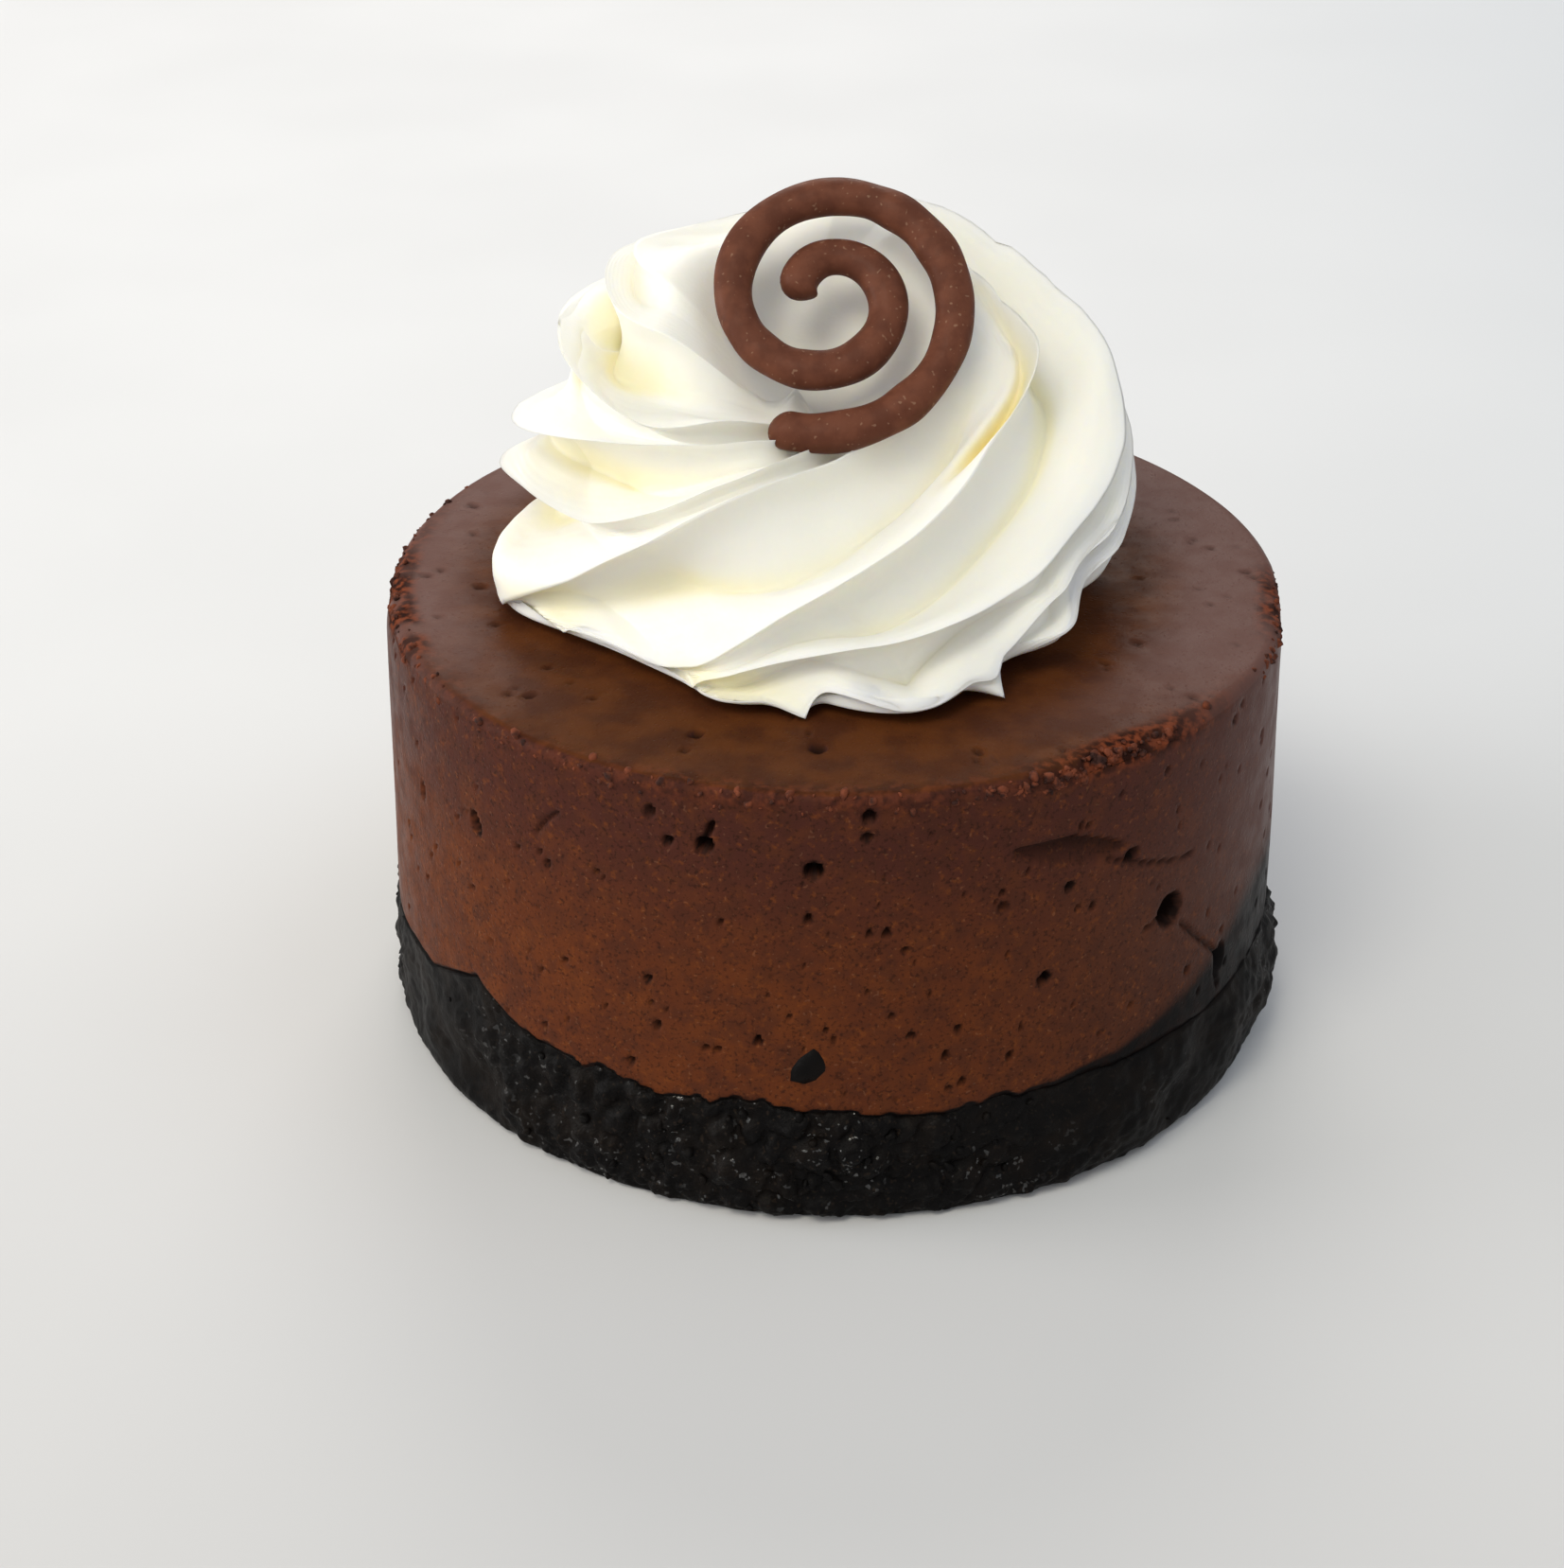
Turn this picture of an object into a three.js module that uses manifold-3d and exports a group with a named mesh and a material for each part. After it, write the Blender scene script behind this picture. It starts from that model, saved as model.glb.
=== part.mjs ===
// A single-portion chocolate cheesecake: a dark crumb crust, a smooth chocolate filling,
// a rosette of piped cream and a piped chocolate spiral set into the cream.
// Millimetres, +Z up. The origin is the middle of the face that the cake rests on.
import * as THREE from "three";
import { mergeVertices } from "three/addons/utils/BufferGeometryUtils.js";
import Module from "manifold-3d";

const wasm = await Module();
wasm.setup();

// Driving dimensions of the cake
const BASE_RADIUS = 38;
const TOP_RADIUS = 36.9;
const CAKE_HEIGHT = 38;
const CRUST_HEIGHT = 10.4;
const GAP = 0.3;
const COLUMNS = 96;

// Crust: a rounded foot, crumb lumps, a wavy upper edge and one crumb that climbs higher
const FOOT_INSET = 1.3;
const FOOT_HEIGHT = 1.6;
const CRUST_BULGE = 0.6;
const BULGE_AZIMUTH = 330;
const CRUMB_RELIEF = 0.9;
const CRUMB_SIZE = 4.2;
const EDGE_WAVE = 0.9;
const EDGE_WAVE_SIZE = 12.6;
const PEAK_AZIMUTH = 220;
const PEAK_WIDTH = 7;
const PEAK_RISE = 3;
const CRUST_SIDE_ROWS = 6;
const LAYER_RADII = [0.93, 0.6];

// Filling: a soft top edge, chipped in a few places as [azimuth, half width, depth]
const EDGE_ROUND = 0.9;
const CHIPS = [[188, 24, 1.0], [306, 15, 1.1], [352, 9, 0.6]];
const CHIP_SIZE = 2.6;
const CHIP_WALL_SHARE = 0.4;
const CHIP_DROP_SHARE = 0.5;
const WALL_WAVE = 0.22;
const WALL_WAVE_SIZE = 16.8;
const COVER_SHARE = 0.8;
const FILLING_SIDE_ROWS = 7;
const FILLING_EDGE_ROWS = 3;

// Cream: a dome that leans up towards its back, tucked in under its right side, with a shallow eye
const CREAM_CENTRE = [-1.5, 0];
const CREAM_RADIUS = 26.4;
const CREAM_HEIGHT = 21.2;
const CREAM_TILT = 6;
const TILT_AZIMUTH = 105;
const FRONT_ROUND = 0.9;
const BACK_ROUND = 0.3;
const SIDE_BLEND = 0.95;
const DEPTH_BLEND = 0.8;
const FACING_POWER = 1.5;
const FRONT_INSET = 1.9;
const FRONT_AZIMUTH = 262;
const CREAM_LIFT = 1;
const SIDE_LIFT = 5;
const SIDE_AZIMUTH = 8;
const UNDERCUT = 0.24;
const FOOT_TUCK = 2;
const SIDE_TUCK = 5.2;
const TUCK_POWER = 1.5;
const EYE_RADIUS = 13;
const EYE_HEIGHT = 13.5;

// Places where the cream's foot is pulled in or swells out, as [azimuth, half width, depth, rise where it ends]
const FOOT_DENTS = [
  [225, 20, 2, 0.6], [284, 18, -2, 0.6], [328, 22, 2.2, 0.6],
  [199, 10, -1, 0.3], [254, 8, -1.5, 0.25], [269, 5, 0.9, 0.2], [287, 8, -1.1, 0.25], [318, 8, -2.4, 0.25],
  [340, 8, -0.8, 0.25],
];

// Swells of the cream's side as [azimuth, half width, swell, level, half height],
// and of its back edge as [azimuth, half width, rise]
const SIDE_SWELLS = [[18, 20, 1.7, 0.62, 0.17], [158, 16, -2.8, 0.52, 0.11], [190, 14, 1.5, 0.12, 0.1]];
const BACK_LIFTS = [[57, 30, 1.8], [122, 20, -1.2]];

// Crests of the rosette's ridges at even steps from foot to eye: the azimuth of each, and its share of the rise.
// Below zero a crest still lies under the rosette.
const RIDGE_AZIMUTHS = [
  [193, 199, 203, 207, 211, 215, 219, 224, 231, 241, 254, 280, 345],
  [210, 215, 225, 237, 246, 255, 266, 280, 296, 312, 328, 358, 430],
  [238, 242, 245, 248, 255, 266, 279, 294, 312, 335, 357, 385, 450],
  [240, 245, 247, 249, 260, 273, 288, 303, 317, 336, 395, 500, 534],
  [296, 298, 300, 302, 304, 306, 309, 317, 338, 395, 475, 522, 572],
  [355, 358, 361, 366, 378, 396, 420, 450, 485, 513, 540, 572, 608],
  [440, 443, 447, 454, 468, 486, 506, 526, 545, 560, 573, 592, 642],
  [470, 474, 480, 492, 508, 524, 541, 558, 575, 590, 602, 622, 668],
];
const RIDGE_RISES = [
  [-0.24, 0, 0.04, 0.08, 0.12, 0.16, 0.21, 0.275, 0.365, 0.51, 0.65, 0.78, 1],
  [-0.24, 0.01, 0.015, 0.015, 0.06, 0.165, 0.3, 0.42, 0.515, 0.61, 0.71, 0.835, 1],
  [-0.24, -0.18, -0.08, 0.02, 0.085, 0.145, 0.2, 0.215, 0.21, 0.275, 0.4, 0.67, 1],
  [-0.24, -0.21, -0.15, -0.05, -0.03, 0.04, -0.02, 0.01, 0.12, 0.12, 0.5, 0.79, 1],
  [-0.24, -0.235, -0.225, -0.21, -0.19, -0.16, -0.1, -0.01, 0.04, 0.285, 0.645, 0.82, 1],
  [-0.24, -0.2, -0.14, -0.05, 0.03, 0.09, 0.18, 0.3, 0.47, 0.62, 0.7, 0.668, 1],
  [-0.24, -0.18, -0.08, 0.01, 0.07, 0.15, 0.235, 0.32, 0.41, 0.505, 0.59, 0.7, 1],
  [-0.24, -0.14, 0, 0.055, 0.13, 0.195, 0.26, 0.32, 0.343, 0.46, 0.6, 0.78, 1],
];

// Hollows between the ridges: narrow with straight faces at the left, wide and rounded at the front
const RIDGE_DEPTH = 6;
const DEPTH_PER_SPACING = 0.95;
const OVERHANG = 0.22;
const FRONT_FACES = 290;
const VALLEY_LEFT = 0.28;
const VALLEY_FRONT = 0.46;
const HOLLOW_POWER = 1.6;
const SWELL_LEFT = 0.95;
const SWELL_FRONT = 1.35;
const FOOT_DEPTH_LEFT = 0.35;
const FOOT_DEPTH_FRONT = 0.8;
const FOOT_DEPTH_RISE = 0.25;
const EYE_FADE = 0.32;
const FOOT_FADE = 0.1;
const EYE_LIMIT = 0.985;
const SLOPE_STEP = 0.01;
const RIDGE_STEPS = [0, 0.07, 0.15, 0.24, 0.34, 0.46, 0.6, 0.74, 0.88];
const CREAM_ROWS = 60;

// Spiral of piped chocolate, leaning back over the eye
const SPIRAL_CENTRE = [-0.8, 0.5, 61.7];
const SPIRAL_LEAN = 45;
const SPIRAL_RADIUS = 11.6;
const SPIRAL_PITCH = 5.3;
const SPIRAL_TURNS = 1.7;
const SPIRAL_START = -105;
const BEAD_WIDTH = 3.2;
const BEAD_THICKNESS = 2.7;
const SPIRAL_STEPS = 66;
const BEAD_SIDES = 10;
const BEAD_END_STEPS = 3;

const TURN = 360;
const radians = THREE.MathUtils.degToRad;
const lerp = THREE.MathUtils.lerp;
const clamp = THREE.MathUtils.clamp;
const smooth = (value) => THREE.MathUtils.smoothstep(value, 0, 1);

// Smooth seeded noise between -1 and 1, from random values on a square lattice
function latticeValue(column, row) {
  const wave = Math.sin(column * 127.1 + row * 311.7) * 43758.5453;
  return 2 * (wave - Math.floor(wave)) - 1;
}

function noise(across, up) {
  const column = Math.floor(across);
  const row = Math.floor(up);
  const u = smooth(across - column);
  const v = smooth(up - row);
  const low = lerp(latticeValue(column, row), latticeValue(column + 1, row), u);
  const high = lerp(latticeValue(column, row + 1), latticeValue(column + 1, row + 1), u);
  return lerp(low, high, v);
}

// Noise on the cake's wall that joins up with itself after a full turn
function wallNoise(azimuth, height, grain) {
  const whole = (2 * Math.PI * BASE_RADIUS) / grain;
  const along = (azimuth / TURN) * whole;
  const blend = smooth(azimuth / TURN);
  return lerp(noise(along, height / grain), noise(along - whole, height / grain), blend);
}

// Signed angle from one azimuth to another, within half a turn
function turnBetween(from, to) {
  return THREE.MathUtils.euclideanModulo(to - from + TURN / 2, TURN) - TURN / 2;
}

// How strongly a feature centred on one azimuth acts at another
function near(azimuth, centre, halfWidth) {
  const offset = turnBetween(centre, azimuth) / halfWidth;
  return Math.exp(-offset * offset);
}

function around(azimuth, radius, height) {
  const angle = radians(azimuth);
  return new THREE.Vector3(radius * Math.cos(angle), radius * Math.sin(angle), height);
}

// Turns a four-sided face's corners so that it splits along its shorter diagonal
function shorterSplit(points, corners) {
  const [a, b, c, d] = corners;
  const keep = points[a].distanceToSquared(points[c]) <= points[b].distanceToSquared(points[d]);
  return keep ? corners : [b, c, d, a];
}

// A closed skin over rings with equal numbers of points, shut by one point at either end
function closedSkin(first, rings, last) {
  const across = rings[0].length;
  const points = [first, ...rings.flat(), last];
  const faces = [];
  const top = 1 + (rings.length - 1) * across;
  for (let i = 0; i < across; i++) {
    const j = (i + 1) % across;
    faces.push(0, 1 + j, 1 + i);
    for (let low = 1; low < top; low += across) {
      const high = low + across;
      const corners = [low + i, low + j, high + j, high + i];
      const [a, b, c, d] = shorterSplit(points, corners);
      faces.push(a, b, c, a, c, d);
    }
    faces.push(top + i, top + j, points.length - 1);
  }
  const geometry = new THREE.BufferGeometry().setFromPoints(points);
  geometry.setIndex(faces);
  return geometry;
}

function ringOf(columns, place) {
  return Array.from({ length: columns }, (_, i) => place((i / columns) * TURN));
}

function ramp(count, place) {
  return Array.from({ length: count }, (_, i) => place(i / (count - 1)));
}

// Booleans on closed geometries
function toSolid(geometry) {
  const bare = geometry.clone();
  bare.deleteAttribute("normal");
  bare.deleteAttribute("uv");
  const merged = mergeVertices(bare, 1e-4);
  const vertProperties = new Float32Array(merged.attributes.position.array);
  const triVerts = new Uint32Array(merged.index.array);
  return new wasm.Manifold(new wasm.Mesh({ numProp: 3, vertProperties, triVerts }));
}

function toGeometry(solid) {
  const { vertProperties, triVerts } = solid.getMesh();
  const geometry = new THREE.BufferGeometry();
  geometry.setAttribute("position", new THREE.BufferAttribute(vertProperties, 3));
  geometry.setIndex(new THREE.BufferAttribute(triVerts, 1));
  return geometry;
}

// The largest piece of a solid that a cut left in several
function largestPiece(solid) {
  const pieces = solid.decompose();
  return pieces.reduce((best, piece) => (piece.volume() > best.volume() ? piece : best));
}

// The cake's wall, and the wavy line where the crust meets the filling
function wallRadius(height) {
  return lerp(BASE_RADIUS, TOP_RADIUS, height / CAKE_HEIGHT);
}

function crustEdge(azimuth) {
  const wave = EDGE_WAVE * wallNoise(azimuth, 0, EDGE_WAVE_SIZE);
  return CRUST_HEIGHT + wave + PEAK_RISE * near(azimuth, PEAK_AZIMUTH, PEAK_WIDTH);
}

function crustRadius(azimuth, height) {
  const share = clamp(height / FOOT_HEIGHT, 0, 1);
  const foot = FOOT_INSET * (1 - Math.sqrt(1 - (1 - share) ** 2));
  const belly = Math.sin(Math.PI * clamp(height / CRUST_HEIGHT, 0, 1));
  const bulge = CRUST_BULGE * belly * (0.5 + 0.5 * Math.cos(radians(azimuth - BULGE_AZIMUTH)));
  const lumps = CRUMB_RELIEF * belly * wallNoise(azimuth, height, CRUMB_SIZE);
  return wallRadius(height) - foot + bulge + lumps;
}

// The level between crust and filling: wavy at the wall, even towards the middle
function layerHeight(azimuth, share) {
  return lerp(CRUST_HEIGHT, crustEdge(azimuth), smooth(2 * share - 1));
}

function makeCrust() {
  const wall = ramp(CRUST_SIDE_ROWS, (share) =>
    ringOf(COLUMNS, (azimuth) => {
      const height = share * crustEdge(azimuth);
      return around(azimuth, crustRadius(azimuth, height), height);
    }));
  const cover = LAYER_RADII.map((share) =>
    ringOf(COLUMNS, (azimuth) =>
      around(azimuth, share * BASE_RADIUS, layerHeight(azimuth, share))));
  const bottom = new THREE.Vector3(0, 0, 0);
  const top = new THREE.Vector3(0, 0, CRUST_HEIGHT);
  return closedSkin(bottom, [...wall, ...cover], top);
}

function chipDepth(azimuth, height) {
  const ragged = 0.5 + 0.5 * wallNoise(azimuth, height, CHIP_SIZE);
  const reach = CHIPS.map(([centre, halfWidth, depth]) => depth * near(azimuth, centre, halfWidth));
  return ragged * Math.max(...reach);
}

function fillingRadius(azimuth, height) {
  return wallRadius(height) + WALL_WAVE * wallNoise(azimuth, height, WALL_WAVE_SIZE);
}

function makeFilling() {
  const floor = [...LAYER_RADII].reverse().map((share) =>
    ringOf(COLUMNS, (azimuth) =>
      around(azimuth, share * BASE_RADIUS, layerHeight(azimuth, share) + GAP)));
  const wallTop = CAKE_HEIGHT - EDGE_ROUND;
  const wall = ramp(FILLING_SIDE_ROWS, (share) =>
    ringOf(COLUMNS, (azimuth) => {
      const height = lerp(crustEdge(azimuth) + GAP, wallTop, share);
      const chip = share === 1 ? chipDepth(azimuth, height) : 0;
      return around(azimuth, fillingRadius(azimuth, height) - CHIP_WALL_SHARE * chip, height);
    }));
  const edge = ramp(FILLING_EDGE_ROWS, (share) =>
    ringOf(COLUMNS, (azimuth) => {
      const bend = radians(90 * (share + 1) / 2);
      const chip = chipDepth(azimuth, CAKE_HEIGHT + share * CHIP_SIZE);
      const inset = EDGE_ROUND * (1 - Math.cos(bend)) + chip;
      const drop = CHIP_DROP_SHARE * (1 - share) * chip;
      const height = wallTop + EDGE_ROUND * Math.sin(bend) - drop;
      return around(azimuth, fillingRadius(azimuth, height) - inset, height);
    }));
  const cover = [ringOf(COLUMNS, (azimuth) => around(azimuth, COVER_SHARE * TOP_RADIUS, CAKE_HEIGHT))];
  const bottom = new THREE.Vector3(0, 0, CRUST_HEIGHT + GAP);
  const top = new THREE.Vector3(0, 0, CAKE_HEIGHT);
  return closedSkin(bottom, [...floor, ...wall, ...edge, ...cover], top);
}

// The slope where two steps meet: level at a turning point, so that the curve never overshoots
function sharedSlope(before, after) {
  return before * after > 0 ? (2 * before * after) / (before + after) : 0;
}

// A smooth curve through a ridge's stations, from 0 at the first to 1 at the last
function throughStations(stations, along) {
  const steps = stations.slice(1).map((value, i) => value - stations[i]);
  const last = steps.length - 1;
  const step = clamp(Math.floor(along * steps.length), 0, last);
  const share = along * steps.length - step;
  const slope = steps[step];
  const slopeIn = step > 0 ? sharedSlope(steps[step - 1], slope) : slope;
  const slopeOut = step < last ? sharedSlope(slope, steps[step + 1]) : slope;
  const square = 3 * slope - 2 * slopeIn - slopeOut;
  const cubic = slopeIn + slopeOut - 2 * slope;
  return stations[step] + share * (slopeIn + share * (square + share * cubic));
}

// Azimuth and rise on a ridge's crest
function crestPlace(index, along) {
  const turns = Math.floor(index / RIDGE_RISES.length);
  const ridge = index - turns * RIDGE_RISES.length;
  const azimuth = TURN * turns + throughStations(RIDGE_AZIMUTHS[ridge], along);
  return [azimuth, throughStations(RIDGE_RISES[ridge], along)];
}

// Azimuth and rise between two neighbouring crests
function facePlace(phase, along) {
  const index = Math.floor(phase);
  const next = crestPlace(index + 1, along);
  return crestPlace(index, along).map((value, i) => lerp(value, next[i], phase - index));
}

// How squarely an azimuth faces another, from 0 at right angles to 1
function facing(azimuth, towards) {
  return Math.max(Math.cos(radians(azimuth - towards)), 0) ** FACING_POWER;
}

function total(values) {
  return values.reduce((sum, value) => sum + value, 0);
}

// The cream's outline at its widest, pulled in at the front and at the dents, with swells at its sides
function creamReach(azimuth, rise) {
  const dents = FOOT_DENTS.map(([centre, halfWidth, depth, end]) =>
    depth * near(azimuth, centre, halfWidth) * (1 - smooth(rise / end)));
  const swells = SIDE_SWELLS.map(([centre, halfWidth, swell, level, half]) =>
    swell * near(azimuth, centre, halfWidth) * Math.exp(-(((rise - level) / half) ** 2)));
  return CREAM_RADIUS - FRONT_INSET * facing(azimuth, FRONT_AZIMUTH) + total(swells) - total(dents);
}

function domeTop(azimuth) {
  const lifts = BACK_LIFTS.map(([centre, halfWidth, rise]) => rise * near(azimuth, centre, halfWidth));
  return CREAM_HEIGHT + CREAM_TILT * Math.cos(radians(azimuth - TILT_AZIMUTH)) + total(lifts);
}

// The smooth dome that the crests lie on; below the foot it turns in under itself
function domePoint(azimuth, rise) {
  const side = facing(azimuth, SIDE_AZIMUTH);
  const lift = CREAM_LIFT + SIDE_LIFT * side;
  let radius = creamReach(azimuth, rise);
  let height = lift;
  if (rise < 0) {
    const under = Math.min(-rise / UNDERCUT, 1);
    radius -= (FOOT_TUCK + SIDE_TUCK * side) * under ** TUCK_POWER;
    height *= 1 - under;
  } else {
    const bend = (Math.min(rise, 1) * Math.PI) / 2;
    const back = smooth(SIDE_BLEND + DEPTH_BLEND * Math.sin(radians(azimuth)));
    radius *= Math.max(Math.cos(bend), 0) ** lerp(FRONT_ROUND, BACK_ROUND, back);
    height = lerp(lift, domeTop(azimuth), Math.sin(bend));
    height = lerp(EYE_HEIGHT, height, smooth(radius / EYE_RADIUS));
  }
  return around(azimuth, radius, height).add(new THREE.Vector3(...CREAM_CENTRE, CAKE_HEIGHT + GAP));
}

function domeOutward(azimuth, rise) {
  const level = clamp(rise, SLOPE_STEP - UNDERCUT, EYE_LIMIT);
  const east = domePoint(azimuth + 1, level).sub(domePoint(azimuth - 1, level));
  const north = domePoint(azimuth, level + SLOPE_STEP).sub(domePoint(azimuth, level - SLOPE_STEP));
  return east.cross(north).normalize();
}

// The way from one crest to the next, square to the crests and as long as they are apart
function acrossRidges(phase, along) {
  const place = (onward, up) => domePoint(...facePlace(phase + onward, clamp(along + up, 0, 1)));
  const tangent = place(0, SLOPE_STEP).sub(place(0, -SLOPE_STEP)).normalize();
  const across = place(SLOPE_STEP, 0).sub(place(-SLOPE_STEP, 0)).divideScalar(2 * SLOPE_STEP);
  return across.addScaledVector(tangent, -across.dot(tangent));
}

// A sharp crest with a hollow face on its lower side and a swelling one that runs on to the next crest
function ridgeProfile(share, valley, swellPower) {
  if (share < valley) {
    return (1 - share / valley) ** HOLLOW_POWER - 1;
  }
  return -((1 - (share - valley) / (1 - valley)) ** swellPower);
}

function creamPoint(phase, along) {
  const [azimuth, rise] = facePlace(phase, along);
  const across = acrossRidges(phase, along);
  const front = facing(azimuth, FRONT_FACES);
  const fade = smooth((1 - rise) / EYE_FADE) * smooth(1 + rise / FOOT_FADE);
  const foot = lerp(lerp(FOOT_DEPTH_LEFT, FOOT_DEPTH_FRONT, front), 1, smooth(rise / FOOT_DEPTH_RISE));
  const depth = Math.min(RIDGE_DEPTH, DEPTH_PER_SPACING * across.length()) * fade * foot;
  const share = phase - Math.floor(phase);
  const valley = lerp(VALLEY_LEFT, VALLEY_FRONT, front);
  const profile = ridgeProfile(share, valley, lerp(SWELL_LEFT, SWELL_FRONT, front));
  const tuck = -OVERHANG * depth * Math.sin(Math.PI * Math.min(share / valley, 1));
  const point = domePoint(azimuth, rise);
  point.addScaledVector(domeOutward(azimuth, rise), depth * profile);
  point.addScaledVector(across.normalize(), tuck);
  point.z = Math.max(point.z, CAKE_HEIGHT + GAP);
  return point;
}

function makeCreamBody() {
  const rings = [];
  for (let row = 0; row < CREAM_ROWS; row++) {
    const ring = RIDGE_RISES.flatMap((_, index) =>
      RIDGE_STEPS.map((share) => creamPoint(index + share, row / CREAM_ROWS)));
    rings.push(ring);
  }
  const [x, y] = CREAM_CENTRE;
  const bottom = new THREE.Vector3(x, y, CAKE_HEIGHT + GAP);
  const eye = new THREE.Vector3(x, y, CAKE_HEIGHT + GAP + EYE_HEIGHT);
  return closedSkin(bottom, rings, eye);
}

// The spiral's middle line in its own leaning plane, from the outer end to the inner one
function spiralPlace(share, across, through) {
  const angle = radians(SPIRAL_START + TURN * SPIRAL_TURNS * share);
  const radius = SPIRAL_RADIUS - SPIRAL_PITCH * SPIRAL_TURNS * share + across;
  const lean = radians(SPIRAL_LEAN);
  const up = radius * Math.sin(angle);
  return new THREE.Vector3(
    SPIRAL_CENTRE[0] + radius * Math.cos(angle),
    SPIRAL_CENTRE[1] + up * Math.sin(lean) - through * Math.cos(lean),
    SPIRAL_CENTRE[2] + up * Math.cos(lean) + through * Math.sin(lean),
  );
}

// The share of the whole spiral that a length takes up where the spiral has this radius
function spiralShare(length, radius) {
  return length / (2 * Math.PI * SPIRAL_TURNS * radius);
}

// One cross-section of the bead, at a scale, grown all round by a margin
function beadSection(share, scale, margin) {
  return Array.from({ length: BEAD_SIDES }, (_, i) => {
    const angle = (-2 * Math.PI * i) / BEAD_SIDES;
    const across = scale * (BEAD_WIDTH / 2 + margin) * Math.cos(angle);
    const through = scale * (BEAD_THICKNESS / 2 + margin) * Math.sin(angle);
    return spiralPlace(share, across, through);
  });
}

// The whole bead of chocolate, with rounded ends
function makeSpiral(margin) {
  const reach = BEAD_WIDTH / 2 + margin;
  const outer = spiralShare(reach, SPIRAL_RADIUS);
  const inner = spiralShare(reach, SPIRAL_RADIUS - SPIRAL_PITCH * SPIRAL_TURNS);
  const bends = ramp(BEAD_END_STEPS + 1, (share) => (share * Math.PI) / 2).slice(1, -1);
  const start = bends.map((bend) => beadSection(-outer * Math.sin(bend), Math.cos(bend), margin));
  const run = ramp(SPIRAL_STEPS + 1, (share) => beadSection(share, 1, margin));
  const end = bends.map((bend) => beadSection(1 + inner * Math.sin(bend), Math.cos(bend), margin));
  const rings = [...start.reverse(), ...run, ...end];
  return closedSkin(spiralPlace(-outer, 0, 0), rings, spiralPlace(1 + inner, 0, 0));
}

// The cream, cut clear of the spiral that stands in it
function makeCream() {
  const cut = toSolid(makeCreamBody()).subtract(toSolid(makeSpiral(GAP)));
  return toGeometry(largestPiece(cut));
}

function piece(name, geometry, colour, roughness) {
  const material = new THREE.MeshStandardMaterial({ color: colour, roughness, metalness: 0 });
  geometry.computeVertexNormals();
  const mesh = new THREE.Mesh(geometry, material);
  mesh.name = name;
  return mesh;
}

const cheesecake = new THREE.Group();
cheesecake.add(piece("crust", makeCrust(), 0x171413, 0.4));
cheesecake.add(piece("filling", makeFilling(), 0x57301f, 0.45));
cheesecake.add(piece("cream", makeCream(), 0xf8f2dc, 0.6));
cheesecake.add(piece("chocolate_spiral", makeSpiral(0), 0x6b3e2c, 0.55));

export default cheesecake;
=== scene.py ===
import bmesh
import bpy
import numpy as np
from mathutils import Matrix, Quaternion, Vector


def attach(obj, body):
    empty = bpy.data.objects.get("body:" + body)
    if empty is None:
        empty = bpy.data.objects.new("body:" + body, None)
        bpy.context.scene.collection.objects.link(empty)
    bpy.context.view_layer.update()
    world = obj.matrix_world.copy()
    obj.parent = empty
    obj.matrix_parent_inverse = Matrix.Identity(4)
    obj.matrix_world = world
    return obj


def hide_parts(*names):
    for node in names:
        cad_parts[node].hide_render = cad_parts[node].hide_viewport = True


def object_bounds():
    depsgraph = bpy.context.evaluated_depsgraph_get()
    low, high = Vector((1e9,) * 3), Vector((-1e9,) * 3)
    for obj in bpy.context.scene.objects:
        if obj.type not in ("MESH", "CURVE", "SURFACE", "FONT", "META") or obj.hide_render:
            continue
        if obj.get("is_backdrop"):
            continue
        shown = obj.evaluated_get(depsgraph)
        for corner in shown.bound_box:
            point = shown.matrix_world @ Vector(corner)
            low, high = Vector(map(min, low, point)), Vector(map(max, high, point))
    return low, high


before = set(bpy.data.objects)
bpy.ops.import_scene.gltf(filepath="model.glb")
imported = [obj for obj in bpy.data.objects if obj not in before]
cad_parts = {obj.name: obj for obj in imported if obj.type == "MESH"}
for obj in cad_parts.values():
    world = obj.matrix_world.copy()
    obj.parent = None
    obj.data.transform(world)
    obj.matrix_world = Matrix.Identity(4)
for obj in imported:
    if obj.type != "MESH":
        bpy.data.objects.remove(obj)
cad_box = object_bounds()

# Lengths are in millimetres and angles in degrees, as in the solids, but the studio is in metres
MM = 0.001
TURN = 360.0
SEED = 11

# Driving dimensions of the cake
BASE_RADIUS = 38.0
TOP_RADIUS = 36.9
CAKE_HEIGHT = 38.0
CRUST_HEIGHT = 10.4
GAP = 0.3
COLUMNS = 720
FRONT_SPREAD = 22.9

# Noise: factors that scramble a place into a number, and shifts between such numbers
LATTICE_FACTORS = (127.1, 311.7, 74.7)
LATTICE_SCALE = 43758.5453
JITTER_SHIFTS = (0.0, 19.0, 43.0)

# Crust form
FOOT_INSET = 1.3
FOOT_HEIGHT = 1.6
CRUST_BULGE = 0.6
BULGE_AZIMUTH = 330
CRUMB_RELIEF = 0.9
CRUMB_SIZE = 4.2
EDGE_WAVE = 0.9
EDGE_WAVE_SIZE = 12.6
PEAK_AZIMUTH = 220
PEAK_WIDTH = 11
PEAK_RISE = 3
CRUST_ROWS = 46
LAYER_RADII = (0.93, 0.6)

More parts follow.
